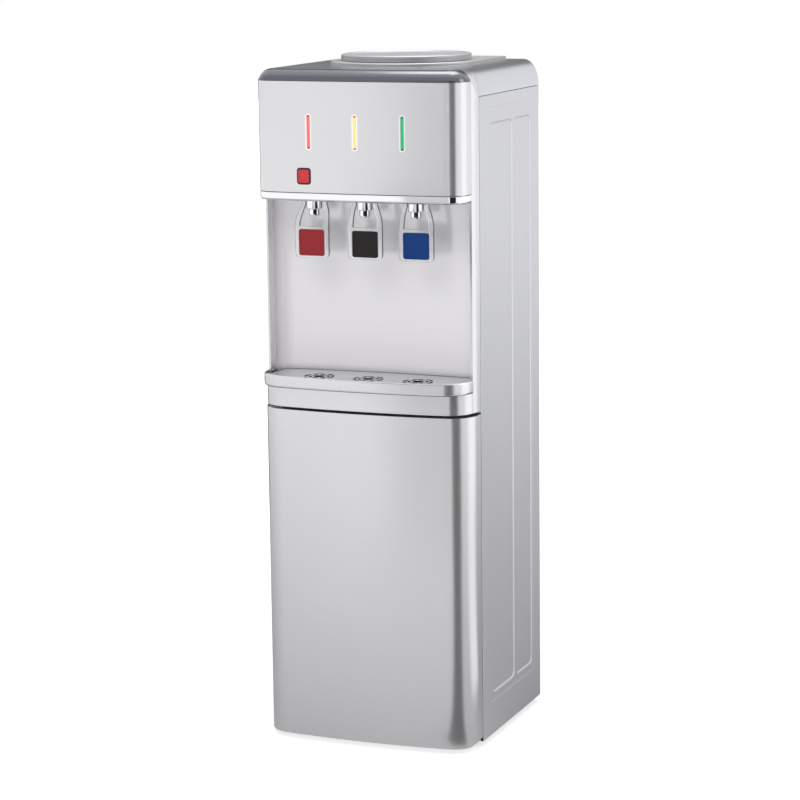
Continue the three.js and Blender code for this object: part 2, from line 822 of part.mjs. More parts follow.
// Levers: a clear paddle on two arms that swing on the tap's pivot pins. The lower part holds a
// coloured pad in a pocket.
function leverOutline() {
  const shape = new THREE.Shape();
  const w = leverHalfWidth;
  const c = leverCorner;
  shape.moveTo(-w + c, leverBottom);
  shape.lineTo(w - c, leverBottom);
  shape.absarc(w - c, leverBottom + c, c, -Math.PI / 2, 0, false);
  shape.lineTo(w, leverPadTop);
  shape.quadraticCurveTo(w, (leverPadTop + leverArmTop) / 2, leverArmOuter, leverArmTop);
  shape.lineTo(leverArmOuter, pivotZ);
  shape.lineTo(-leverArmOuter, pivotZ);
  shape.lineTo(-leverArmOuter, leverArmTop);
  shape.quadraticCurveTo(-w, (leverPadTop + leverArmTop) / 2, -w, leverPadTop);
  shape.lineTo(-w, leverBottom + c);
  shape.absarc(-w + c, leverBottom + c, c, Math.PI, Math.PI * 1.5, false);
  return shape;
}
function leverWindow() {
  const shape = new THREE.Shape();
  const w = leverWindowHalf;
  shape.moveTo(-w, leverPadTop);
  shape.lineTo(w, leverPadTop);
  shape.quadraticCurveTo(w, (leverPadTop + leverArmTop) / 2, leverArmInner, leverArmTop);
  shape.lineTo(leverArmInner, pivotZ + overrun);
  shape.lineTo(-leverArmInner, pivotZ + overrun);
  shape.lineTo(-leverArmInner, leverArmTop);
  shape.quadraticCurveTo(-w, (leverPadTop + leverArmTop) / 2, -w, leverPadTop);
  return shape;
}
const leverBack = leverFront + leverThickness;
const padOutline = (shift, margin) => roundedRectangle(
  shift - padWidth / 2 - margin, shift + padWidth / 2 + margin,
  padBottom - margin, padTopEdge + margin, padCorner + margin);
const eyes = join(...[-1, 1].map((side) => rodAcross(leverEyeRadius, tapY, pivotZ,
  Math.min(side * leverArmInner, side * leverArmOuter),
  Math.max(side * leverArmInner, side * leverArmOuter), pinSteps)));
function lever(shift) {
  return cut(
    join(cut(runBack(leverOutline(), leverFront, leverBack, leverSteps),
      runBack(leverWindow(), leverFront - overrun, leverBack + overrun, leverSteps)),
    eyes),
    rodAcross(pivotRadius + seat, tapY, pivotZ, -half, half, pinSteps),
    runBack(padOutline(shift, seat), leverFront - overrun, leverFront + padThickness + seat,
      cornerSteps),
  );
}
const padColours = [0x913737, 0x282626, 0x193c73];
const padShifts = [padShiftHot, 0, 0];
tapXs.forEach((x, i) => {
  add(`lever_${tapUses[i]}`, lever(padShifts[i]).translate([x, 0, 0]), clearPlastic());
  add(`lever_pad_${tapUses[i]}`, runBack(padOutline(padShifts[i], 0), leverFront,
    leverFront + padThickness, cornerSteps).translate([x, 0, 0]),
  finish(padColours[i], 0.45, 0));
});

// Band under the tray: it closes the gap above the door and carries the tray on its deck
const bandSideEnd = columnFront - 2 * seat;
const bandTrim = box(-span, span, doorFront - span, bandSideEnd, bandBottom, bandTop);
const bandWall = 2.4;
add("tray_carrier", join(
  cut(
    raise(bowed(bandBow, 0, 0), bandBottom, bandTop),
    raise(bowed(bandBow, bandWall, overrun), bandBottom + bandWall, bandTop - bandWall),
  ).intersect(bandTrim),
  raiseRecess(2 * seat, bandSideEnd - overrun, bandTop - bandWall, bandTop)
    .intersect(box(-span, span, bandSideEnd - overrun, recessDepth, bandBottom, bandTop)),
  box(-trayBackHalf, trayBackHalf, bandSideEnd - overrun, bulkheadFront,
    bandBottom, bandBottom + bandWall),
), silverPaint());

// Drip tray: a basin with a bowed lip, and the grille that lies in it on a ledge
const traySideEnd = bandSideEnd;
function trayBody(inset, z0, z1) {
  return join(
    raise(bowed(trayBow, inset, 0), z0, z1)
      .intersect(box(-span, span, trayFront - overrun, traySideEnd - inset, z0, z1)),
    raiseRecess(trayBackGap + inset, traySideEnd - overrun, z0, z1)
      .intersect(box(inset - trayBackHalf, trayBackHalf - inset, traySideEnd - overrun - inset,
        recessDepth, z0, z1)),
  );
}
const trayLip = loft([
  { outline: bowed(trayBow, trayEdge, 0), z: trayBottom },
  { outline: bowed(trayBow, 0, 0), z: trayBottom + trayEdge },
  { outline: bowed(trayBow, 0, 0), z: trayTop - trayEdge },
  { outline: bowed(trayBow, trayEdge, 0), z: trayTop },
]);
const trayTrim = join(trayLip, box(-span, span, traySideEnd - overrun * 2, recessDepth,
  trayBottom, grilleTop));
add("drip_tray", cut(
  trayBody(0, trayBottom, trayTop).intersect(trayTrim),
  trayBody(trayWall, grilleTop - grilleThickness - seat, trayTop + overrun),
  trayBody(trayWall + grilleLedge, trayBottom + trayFloor, trayTop),
), silverPaint());

function ringSlot(radius, from, to) {
  const shape = new THREE.Shape();
  shape.absarc(0, 0, radius + drainSlotWidth / 2, from, to, false);
  shape.absarc(0, 0, radius - drainSlotWidth / 2, to, from, true);
  return shape;
}
const sector = (Math.PI * 2) / drainSlotCount;
function drainPattern(x) {
  const low = grilleTop - grilleThickness - overrun;
  const high = grilleTop + overrun;
  const slots = drainRingRadii.flatMap((radius, ring) => Array.from(
    { length: drainSlotCount }, (_, i) => raise(ringSlot(radius,
      sector * (i + ring / 2), sector * (i + ring / 2 + drainSlotShare)), low, high,
    1)));
  return join(upright(drainCentreRadius, 0, 0, low, high), ...slots)
    .translate([x, drainY, 0]);
}
add("drip_grille", cut(
  trayBody(trayWall + seat, grilleTop - grilleThickness, grilleTop),
  ...[-1, 0, 1].map((step) => drainPattern(drainX + step * drainPitch)),
), silverPaint());

// Door: bowed shell with sockets for the hinge pins, closed at the back by a recessed liner
const doorOuter = raise(bowed(doorBow, 0, -doorGap), 0, doorHeight).intersect(runBack(
  roundedRectangle(-half, half, 0, doorHeight + 2 * doorBottomCorner, doorBottomCorner),
  doorFront - overrun, overrun, cornerSteps));
const sockets = [[0, hingePinReach], [doorHeight - hingePinReach, doorHeight]]
  .map(([z0, z1]) => upright(hingeBoss, hingeX, hingeY, z0, z1));
const socketHoles = [
  [-overrun, hingePinReach - plastic], [doorHeight - hingePinReach + plastic,
    doorHeight + overrun],
].map(([z0, z1]) => upright(hingePinRadius + seat, hingeX, hingeY, z0, z1));
add("door_panel", cut(
  join(
    cut(doorOuter, raise(bowed(doorBow, plastic, overrun), plastic, doorHeight - plastic)),
    join(...sockets).intersect(doorOuter),
  ),
  ...socketHoles,
), silverPaint());
const linerEdge = half - plastic - seat;
const linerLow = plastic + seat;
const linerHigh = doorHeight - plastic - seat;
add("door_liner", join(
  cut(
    box(-linerEdge, linerEdge, -doorGap - linerWall, -doorGap, linerLow, linerHigh),
    box(doorLinerBorder - linerEdge, linerEdge - doorLinerBorder,
      -doorGap - overrun, overrun, linerLow + doorLinerBorder, linerHigh - doorLinerBorder),
  ),
  cut(
    box(doorLinerBorder - linerWall - linerEdge, linerEdge - doorLinerBorder + linerWall,
      -doorGap - linerWall - doorLinerRecess, -doorGap - linerWall / 2,
      linerLow + doorLinerBorder - linerWall, linerHigh - doorLinerBorder + linerWall),
    box(doorLinerBorder - linerEdge, linerEdge - doorLinerBorder,
      -doorGap - doorLinerRecess, overrun,
      linerLow + doorLinerBorder, linerHigh - doorLinerBorder),
  ),
), whitePlastic());

// Hinge plates with their pins
const lowerPlateTop = -seat;
add("hinge_lower", join(
  raise(roundedRectangle(hingeX - hingeBoss, hingeX - hingeBoss + hingePlateWidth,
    hingeY - hingeBoss, hingePlateBack, hingeBoss), lowerPlateTop - hingePlate,
  lowerPlateTop, cornerSteps),
  upright(hingePinRadius, hingeX, hingeY, lowerPlateTop - hingePlate / 2,
    hingePinReach - plastic - seat),
), galvanised());
const upperPlateTop = bandBottom - seat;
add("hinge_upper", join(
  raise(roundedRectangle(hingeX - hingeBoss / 2, hingeX - hingeBoss + hingePlateWidth,
    hingeY - hingeBoss, bulkheadFront, hingeBoss / 2), upperPlateTop - hingePlate,
  upperPlateTop, cornerSteps),
  upright(hingePinRadius, hingeX, hingeY, doorHeight - hingePinReach + plastic + seat,
    upperPlateTop - hingePlate / 2),
), galvanised());

// Magnetic catch: the magnet on the door and its steel plate on the cupboard's rim
const linerFront = sheet + seat;
const magnetSeat = seat - doorGap;
add("door_magnet", box(
  linerEdge - magnetWidth / 2, linerEdge - seat, magnetSeat, magnetSeat + magnetDepth,
  magnetZ - magnetHeight / 2, magnetZ + magnetHeight / 2), rubberBlack());
add("catch_plate", box(
  linerEdge - magnetWidth / 2, half - returnFlange - seat, magnetSeat + magnetDepth + seat,
  linerFront - seat, magnetZ - magnetHeight / 2, magnetZ + magnetHeight / 2), galvanised());

// Cupboard liner: a moulded tub with a rim that stands behind the folded panel edges
add("cupboard_liner", cut(
  join(
    box(-innerHalf, innerHalf, linerFront, linerFront + linerWall,
      linerLow, linerFlangeTop),
    raise(roundedRectangle(-cupboardHalfWidth, cupboardHalfWidth, -cupboardBack,
      cupboardBack, cupboardCorner), cupboardBottom - linerWall, cupboardTop + linerWall,
    cornerSteps).intersect(box(-span, span, linerFront, span,
      cupboardBottom - linerWall, cupboardTop + linerWall)),
  ),
  raise(roundedRectangle(linerWall - cupboardHalfWidth, cupboardHalfWidth - linerWall,
    -cupboardBack, cupboardBack - linerWall, cupboardCorner - linerWall), cupboardBottom,
  cupboardTop, cornerSteps),
), whitePlastic());

// Decks across the cabinet: the lower one carries the hot tank, the upper one the cold tank
function shelf(y0, y1, top, flange) {
  return cut(
    box(-innerHalf, innerHalf, y0, y1, top - flange, top),
    box(sheet - innerHalf, innerHalf - sheet, y0 - overrun, y1 + overrun,
      top - flange - overrun, top - sheet),
  );
}
const deckBack = innerBack - sheet - seat;
add("lower_deck", shelf(deckFront, deckBack, deckTop, deckFlange), galvanised());
add("tank_shelf", cut(
  shelf(deckFront, deckBack, bracketTop, deckFlange),
  upright(bracketWindow, 0, wellY, bracketTop - overrun, bracketTop + overrun, roundSteps),
), galvanised());

// Cold tank in its foam jacket
add("cold_tank", turn([
  [0, coldTankBottom], [coldTankRadius, coldTankBottom], [coldTankRadius, coldTankTop],
  [coldTankRadius - tankWall, coldTankTop], [coldTankRadius - tankWall,
    coldTankBottom + tankWall], [0, coldTankBottom + tankWall],
], tankSteps).translate([0, wellY, 0]), stainless());
add("tank_foam", turn([
  [0, bracketTop + seat], [foamRadius, bracketTop + seat], [foamRadius, foamTop],
  [coldTankRadius + seat, foamTop], [coldTankRadius + seat, coldTankBottom - seat],
  [0, coldTankBottom - seat],
], tankSteps).translate([0, wellY, 0]), whiteFoam());

// Hot tank on three legs
const hotLegs = [0, 1, 2].map((i) => {
  const angle = (Math.PI * 2 * i) / 3 + Math.PI / 2;
  const x = hotLegSpread * Math.cos(angle);
  const y = hotLegSpread * Math.sin(angle);
  return box(x - hotLegWidth / 2, x + hotLegWidth / 2, y - hotLegWidth / 2,
    y + hotLegWidth / 2, deckTop + seat, hotTankBottom + tankWall / 2);
});
function hotTankBody(inset) {
  return turn([
    [0, hotTankBottom + inset], [hotTankRadius - hotTankDome - inset, hotTankBottom + inset],
    [hotTankRadius - inset, hotTankBottom + hotTankDome],
    [hotTankRadius - inset, hotTankTop - hotTankDome],
    [hotTankRadius - hotTankDome - inset, hotTankTop - inset], [0, hotTankTop - inset],
  ], tankSteps);
}
add("hot_tank", cut(
  join(hotTankBody(0), ...hotLegs),
  hotTankBody(tankWall),
  rodAcross(drainPipeBore, 0, drainPipeZ, 0, hotTankRadius + overrun, pinSteps),
).translate([0, wellY, 0]), stainless());

// Bottle seat: a deep funnel in the cover's well, with the feed probe in its throat
const platformTop = coverTop + platformHeight;
add("bottle_seat", turn([
  [seatFlangeRadius, platformTop + seat], [seatFlangeRadius, platformTop + seat + linerWall],
  [seatWallRadius - linerWall, platformTop + seat + linerWall],
  [seatWallRadius - linerWall, seatWallBottom + linerWall],
  [seatThroatRadius * 2, seatConeBottom + linerWall],
  [seatThroatRadius - linerWall, seatConeBottom + linerWall],
  [seatThroatRadius - linerWall, seatThroatBottom], [seatThroatRadius, seatThroatBottom],
  [seatThroatRadius, seatConeBottom], [seatThroatRadius * 2, seatConeBottom],
  [seatWallRadius, seatWallBottom], [seatWallRadius, platformTop + seat],
]).translate([0, wellY, 0]), whitePlastic());
const probeFlange = seatThroatRadius - linerWall - seat;
const probeShoulder = seatConeBottom + linerWall + seat;
const probeSlots = [0, 1].map((i) => box(-probeRadius * 2, probeRadius * 2,
  -probeSlotWidth / 2, probeSlotWidth / 2, probeTop - 2 * probeSlotHeight,
  probeTop - probeSlotHeight).rotate([0, 0, 90 * i]));
add("feed_probe", cut(
  turn([
    [probeRadius - linerWall, seatThroatBottom], [probeFlange, seatThroatBottom],
    [probeFlange, probeShoulder], [seatThroatRadius + linerWall, probeShoulder],
    [seatThroatRadius + linerWall, probeShoulder + linerWall],
    [probeRadius, probeShoulder + 2 * linerWall], [probeRadius, probeTop - probeRadius],
    [probeRadius / 2, probeTop], [0, probeTop], [0, probeTop - linerWall],
    [probeRadius - linerWall, probeTop - probeRadius - linerWall],
  ], smallSteps),
  ...probeSlots,
).translate([0, wellY, 0]), whitePlastic());

// Top cover with its raised platform and the well for the bottle seat
function platform() {
  const r = platformHalfWidth - platformBevel;
  const plan = new THREE.Shape();
  plan.moveTo(r, cabinetDepth - platformBevel);
  plan.lineTo(r, wellY);
  plan.absarc(0, wellY, r, 0, -Math.PI, true);
  plan.lineTo(-r, cabinetDepth - platformBevel);
  const body = new THREE.ExtrudeGeometry(plan, {
    depth: platformHeight + plastic / 2 - platformBevel * 2, bevelEnabled: true,
    bevelThickness: platformBevel, bevelSize: platformBevel, bevelSegments: 2,
    curveSegments: smallSteps,
  });
  return solid(body.translate(0, 0, coverTop - plastic / 2 + platformBevel));
}
add("top_cover", cut(
  join(
    cut(crownSkin, box(-span, span, headFront - overrun, frameBack + seat, 0, roof)),
    crownSkin.intersect(topField(seat)),
    platform(),
  ),
  upright(wellRadius, 0, wellY, coverTop - span, roof, roundSteps),
), silverPaint());

// Lid over the well, dished on top, with one faint ring
const lidInner = lidTop - lidDish - lidWall;
add("lid", turn([
  [0, lidInner], [lidRadius - lidWall, lidInner], [lidRadius - lidWall, platformTop + seat],
  [lidRadius, platformTop + seat], [lidRadius, lidTop - lidWall],
  [lidRadius - lidWall / 2, lidTop - lidWall / 4], [lidRadius - lidWall, lidTop],
  [lidRadius - lidRimWidth, lidTop], [lidRadius - lidRimWidth - lidDish, lidTop - lidDish],
  [lidRingRadius + lidRingHeight, lidTop - lidDish],
  [lidRingRadius, lidTop - lidDish + lidRingHeight],
  [lidRingRadius - lidRingHeight, lidTop - lidDish], [0, lidTop - lidDish],
]).translate([0, wellY, 0]), smokedSilver());

// Compressor: a pressed steel can on a foot plate
const plateZ = sheet + seat + compressorPlate * 2;
const canMiddle = (compressorBottom + compressorTop) / 2;
add("compressor", join(
  turn([
    [0, compressorBottom], [compressorRadius * 0.8, compressorBottom],
    [compressorRadius, compressorBottom + compressorDome],
    [compressorRadius, canMiddle - compressorSeam],
    [compressorRadius + compressorSeam, canMiddle - compressorSeam],
    [compressorRadius + compressorSeam, canMiddle + compressorSeam],
    [compressorRadius, canMiddle + compressorSeam],
    [compressorRadius, compressorTop - compressorDome],
    [compressorRadius * 0.8, compressorTop - compressorDome / 4], [0, compressorTop],
  ], smallSteps).scale([compressorLengthShare, compressorFlatShare, 1]),
  raise(roundedRectangle(-compressorFootX, compressorFootX, -compressorFootY,
    compressorFootY, compressorFootRadius), plateZ, compressorBottom + overrun,
  cornerSteps),
  ...[[-1, -1], [-1, 1], [1, -1], [1, 1]].map(([sx, sy]) => upright(
    compressorFootRadius, sx * (compressorFootX - compressorFootRadius * 1.2),
    sy * (compressorFootY - compressorFootRadius * 1.2), sheet + seat,
    plateZ + compressorPlate, smallSteps / 2)),
).translate([compressorX, compressorY, 0]), blackEnamel());

// Condenser: one tube folded to and fro, with upright wires and two straps to the cabinet
const condenserY = cabinetDepth + condenserStandoff;
// Sweeps a round section along a polyline that lies in one plane, with mitred corners
function foldedTube(points, radius, sides, normal) {
  const positions = [];
  points.forEach((point, i) => {
    const before = points[Math.max(i - 1, 0)];
    const after = points[Math.min(i + 1, points.length - 1)];
    const arriving = point.clone().sub(before).normalize();
    const leaving = after.clone().sub(point).normalize();
    if (i === 0) {
      arriving.copy(leaving);
    }
    if (i === points.length - 1) {
      leaving.copy(arriving);
    }
    const mean = arriving.clone().add(leaving).normalize();
    const across = new THREE.Vector3().crossVectors(mean, normal).normalize();
    const stretch = 1 / Math.max(mean.dot(arriving), 0.2);
    for (let k = 0; k < sides; k += 1) {
      const angle = (Math.PI * (2 * k + 1)) / sides;
      const offset = across.clone().multiplyScalar(radius * stretch * Math.cos(angle))
        .addScaledVector(normal, radius * Math.sin(angle));
      positions.push(...point.clone().add(offset).toArray());
    }
  });
  const faces = [];
  for (let ring = 0; ring + 1 < points.length; ring += 1) {
    for (let k = 0; k < sides; k += 1) {
      const a = ring * sides + k;
      const b = ring * sides + (k + 1) % sides;
      faces.push(a, b, a + sides, b, b + sides, a + sides);
    }
  }
  const last = (points.length - 1) * sides;
  for (let k = 1; k + 1 < sides; k += 1) {
    faces.push(0, k + 1, k, last, last + k, last + k + 1);
  }
  const geometry = new THREE.BufferGeometry();
  geometry.setAttribute("position", new THREE.Float32BufferAttribute(positions, 3));
  geometry.setIndex(faces);
  return solid(geometry);
}
const condenserRoute = [];
for (let run = 0; run < condenserRuns; run += 1) {
  const side = run % 2 === 0 ? 1 : -1;
  const z = condenserBottom + run * runPitch;
  condenserRoute.push(new THREE.Vector3(-side * condenserHalfWidth, condenserY, z));
  condenserRoute.push(new THREE.Vector3(side * condenserHalfWidth, condenserY, z));
  for (let step = 1; step < bendSteps && run + 1 < condenserRuns; step += 1) {
    const angle = (Math.PI * step) / bendSteps - Math.PI / 2;
    condenserRoute.push(new THREE.Vector3(
      side * (condenserHalfWidth + (runPitch / 2) * Math.cos(angle)), condenserY,
      z + runPitch / 2 + (runPitch / 2) * Math.sin(angle)));
  }
}
add("condenser_tube", foldedTube(condenserRoute, condenserTube, tubeSides,
  new THREE.Vector3(0, 1, 0)), blackEnamel());
const wireBack = condenserY - condenserTube - seat;
const wires = Array.from({ length: condenserWires }, (_, i) => {
  const x = -condenserHalfWidth + wirePitch * (i + 0.5);
  return box(x - wireWidth / 2, x + wireWidth / 2, wireBack - wireWidth, wireBack,
    condenserBottom - strapHeight, condenserTop + strapHeight);
});
const straps = [condenserBottom + strapInset, condenserTop - strapInset].map((z) => box(
  -strapReach, strapReach, cabinetDepth + seat, wireBack - wireWidth / 2,
  z - strapHeight / 2, z + strapHeight / 2));
add("condenser_wires", join(...wires, ...straps), blackEnamel());

// Filter drier on the pipe that leads from the foot of the condenser into the machine bay
const drierX = -condenserHalfWidth - drierOffset;
const drierBack = innerBack - seat - sheet;
const drierFront = drierBack - drierLength;
const drierPipe = foldedTube([
  new THREE.Vector3(-condenserHalfWidth - seat, condenserY, condenserBottom),
  new THREE.Vector3(drierX + condenserTube * 2, condenserY, condenserBottom),
  new THREE.Vector3(drierX, condenserY - condenserTube * 2, condenserBottom),
  new THREE.Vector3(drierX, drierBack - drierNeck, condenserBottom),
], condenserTube, tubeSides, new THREE.Vector3(0, 0, 1));
add("filter_drier", join(
  drierPipe,
  turn([
    [0, drierFront], [drierNeck, drierFront], [drierNeck, drierFront + drierTaper],
    [drierRadius, drierFront + drierTaper * 2], [drierRadius, drierBack - drierTaper * 2],
    [drierNeck, drierBack - drierTaper], [drierNeck, drierBack], [0, drierBack],
  ], smallSteps).rotate([-90, 0, 0]).translate([drierX, 0, condenserBottom]),
), finish(0xb06a3c, 0.35, 1));

// Rear switches: two rockers in one housing
const switchFace = innerBack + seat + switchLip;
const housing = (margin) => [
  switchX - switchWidth / 2 - margin, switchX + switchWidth / 2 + margin,
];
const [housingLeft, housingRight] = housing(0);
const [lipLeft, lipRight] = housing(switchLip);
const switchInside = switchFace - switchDepthBack;
const rockerY = switchFace - rockerPinInset;
const rockerXs = [switchX - rockerPitch / 2, switchX + rockerPitch / 2];
const rockerWell = (x) => box(x - rockerWidth / 2 - seat, x + rockerWidth / 2 + seat,
  switchInside + linerWall, switchFace + overrun, switchZ - rockerHeight / 2 - 2 * seat,
  switchZ + rockerHeight / 2 + 2 * seat);
const rockerPin = (margin) => rodAcross(rockerPinRadius + margin, rockerY, switchZ,
  rockerXs[0] - rockerWidth / 2 - linerWall, rockerXs[1] + rockerWidth / 2 + linerWall);
add("switch_housing", join(
  cut(
    join(
      box(housingLeft, housingRight, switchInside, switchFace,
        switchZ - switchHeight / 2, switchZ + switchHeight / 2),
      box(lipLeft, lipRight, innerBack + seat, switchFace,
        switchZ - switchHeight / 2 - switchLip, switchZ + switchHeight / 2 + switchLip),
    ),
    ...rockerXs.map(rockerWell),
  ),
  rockerPin(0),
), darkPlastic());
function rocker(x) {
  const plan = new THREE.Shape();
  const h = rockerHeight / 2 - 2 * seat;
  plan.moveTo(-rockerPinInset, -rockerPinRadius * 2);
  plan.lineTo(rockerPinInset - rockerThickness / 2, -h);
  plan.lineTo(rockerPinInset, -h);
  plan.lineTo(rockerPinInset - rockerThickness / 4, 0);
  plan.lineTo(rockerPinInset, h);
  plan.lineTo(rockerPinInset - rockerThickness / 2, h);
  plan.lineTo(-rockerPinInset, rockerPinRadius * 2);
  return cut(
    runAcross(plan, x - rockerWidth / 2, x + rockerWidth / 2)
      .rotate([rockerTilt, 0, 0]).translate([0, rockerY, switchZ]),
    rockerPin(seat),
  );
}
add("rocker_hot", rocker(rockerXs[1]), finish(0xc23030, 0.4, 0));
add("rocker_cold", rocker(rockerXs[0]), finish(0x2a7a3c, 0.4, 0));

// Drain: a pipe from the hot tank through the back panel, closed by a screw cap
const drainPipeFront = wellY + hotTankRadius;
const drainStubEnd = innerBack + drainCapLength;
add("drain_pipe", cut(
  join(
    rodBack(drainPipeRadius, drainPipeX, drainPipeZ, drainPipeFront - hotTankRadius / 2,
      drainStubEnd),
    rodAcross(drainPipeRadius, drainPipeFront - hotTankRadius / 2, drainPipeZ,
      hotTankRadius + tankWall, drainPipeX),
  ),
  rodBack(drainPipeBore, drainPipeX, drainPipeZ, drainPipeFront - hotTankRadius / 2,
    drainStubEnd + overrun),
), whitePlastic());
add("drain_cap", cut(
  rodBack(drainCapRadius, drainPipeX, drainPipeZ, innerBack + sheet + seat,
    drainStubEnd + linerWall + seat, smallSteps / 2),
  rodBack(drainPipeRadius + seat, drainPipeX, drainPipeZ, innerBack, drainStubEnd + seat),
), darkPlastic());

// Gland where the mains lead enters
add("cord_gland", cut(
  join(
    rodBack(glandRadius, glandX, glandZ, innerBack - sheet - glandLength / 2,
      innerBack + glandLength / 2),
    rodBack(glandFlange, glandX, glandZ, innerBack + seat, innerBack + seat + linerWall),
  ),
  rodBack(glandBore, glandX, glandZ, innerBack - glandLength * 2, innerBack + glandLength * 2),
), rubberBlack());

// The whole machine, moved so that the origin is on the floor under its middle
const backMost = condenserY + condenserTube;
const machine = new THREE.Group();
machine.add(group);
group.position.set(0, -(trayFront + backMost) / 2, footHeight);

export default machine;
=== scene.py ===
"""Looks of a floor-standing water dispenser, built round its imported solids.

Shapes are drawn in millimetres from the front edge of the side panels and the underside of
the cabinet, and draft() brings them into the machine's frame in metres.
"""

import json
import math

import bmesh
import bpy
from bpy.props import FloatProperty, FloatVectorProperty, PointerProperty
from mathutils import Matrix, Vector


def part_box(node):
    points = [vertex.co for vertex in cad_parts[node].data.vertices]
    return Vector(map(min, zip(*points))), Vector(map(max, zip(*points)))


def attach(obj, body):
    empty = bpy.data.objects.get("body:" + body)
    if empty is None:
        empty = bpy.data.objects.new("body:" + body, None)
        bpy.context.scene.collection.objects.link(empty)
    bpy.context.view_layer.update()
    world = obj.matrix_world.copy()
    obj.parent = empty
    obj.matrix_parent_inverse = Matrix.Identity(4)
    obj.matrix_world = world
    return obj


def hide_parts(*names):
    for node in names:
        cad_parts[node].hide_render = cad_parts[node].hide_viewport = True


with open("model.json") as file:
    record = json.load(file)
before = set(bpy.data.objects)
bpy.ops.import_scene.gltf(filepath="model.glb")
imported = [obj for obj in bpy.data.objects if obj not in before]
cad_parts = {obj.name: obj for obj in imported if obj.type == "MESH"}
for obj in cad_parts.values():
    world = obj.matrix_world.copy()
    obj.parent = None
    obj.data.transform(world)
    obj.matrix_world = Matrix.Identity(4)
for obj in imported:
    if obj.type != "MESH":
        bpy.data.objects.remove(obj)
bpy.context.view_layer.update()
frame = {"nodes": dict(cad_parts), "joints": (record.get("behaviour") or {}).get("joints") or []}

bl_info = {
    "name": "Floor water dispenser",
    "version": (1, 0, 0),
    "blender": (4, 5, 0),
    "location": "View3D > Sidebar > Dispenser",
    "description": "Builds the looks of a floor water dispenser round its packed solids",
    "category": "Object",
}

MM = 0.001
PANEL_LOW, PANEL_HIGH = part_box("side_panel_right")
CORNER = Vector((0, PANEL_LOW.y, PANEL_LOW.z))
HALF = PANEL_HIGH.x / MM
DEPTH = (PANEL_HIGH.y - PANEL_LOW.y) / MM


def low(node):
    """Lowest corner of a solid in millimetres from the panels' front edge and underside."""
    return (Vector(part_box(node)[0]) - CORNER) / MM


def high(node):
    """Highest corner of a solid, measured in the same way."""
    return (Vector(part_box(node)[1]) - CORNER) / MM


def corners(node):
    """Both corners of a solid."""
    return low(node), high(node)


def middle(node):
    return (low(node) + high(node)) / 2


def levels(node):
    """Heights of a solid's underside and top."""
    return low(node).z, high(node).z


def joint_place(name):
    """Place of a joint, measured in the same way."""
    for joint in frame["joints"]:
        if joint["name"] == name:
            return (Vector(joint["pos_m"]) - CORNER) / MM
    raise RuntimeError(f"the frame has no joint {name}")


# Sizes and colours that can be changed in the panel

def length(name, description, default):
    return FloatProperty(name=name, description=description, default=default * MM,
                         unit="LENGTH", precision=5)


def colour(name, description, default):
    return FloatVectorProperty(name=name, description=description, default=default, size=3,
                               min=0, max=1, subtype="COLOR")


class DispenserSizes(bpy.types.PropertyGroup):
    wall: length("Wall", "Thickness of the moulded covers", 2.5)
    sheet: length("Sheet", "Thickness of the pressed steel panels", 1.2)
    gap: length("Gap", "Clearance between neighbouring pieces", 0.3)
    edge: length("Edge", "Radius on the rims of the moulded covers", 0.9)
    seam: length("Seam", "Extra width of the seams that show as dark lines", 0.5)
    door_corner: length("Door corner", "Corner radius of the door in plan", 38)
    door_bulge: length("Door bulge", "Bow of the door between its corners", 6.6)
    door_foot: length("Door foot", "Radius of the door's bottom corners", 10)
    band_corner: length("Band corner", "Corner radius of the band in plan", 37)
    band_bulge: length("Band bulge", "Bow of the band", 6.4)
    head_corner: length("Head corner", "Corner radius of the head in plan", 27)
    head_bulge: length("Head bulge", "Bow of the head", 3.6)
    tray_corner: length("Tray corner", "Corner radius of the tray's lip in plan", 41)
    tray_bulge: length("Tray bulge", "Bow of the tray's lip", 6)
    recess_corner: length("Recess corner", "Corner radius of the recess in plan", 21)
    recess_bulge: length("Recess bulge", "Bow of the back of the recess", 6)
    shoulder_width: length("Shoulder width", "Width of the cover's round shoulder", 22)
    shoulder_height: length("Shoulder height", "Height of that shoulder", 34)
    visor_setback: length("Visor setback", "How far the visor leans back to its top", 19)
    platform_half: length("Platform", "Half the width of the platform round the lid", 106)
    platform_edge: length("Platform edge", "Bevel of that platform", 2.2)
    well_radius: length("Well", "Radius of the bottle well", 83)
    drain_pitch: length("Drain pitch", "Distance between the drain patterns", 73)
    drain_slot: length("Drain slot", "Width of the drain slots", 4.2)
    wire_radius: length("Wire", "Radius of the condenser's wires", 0.75)


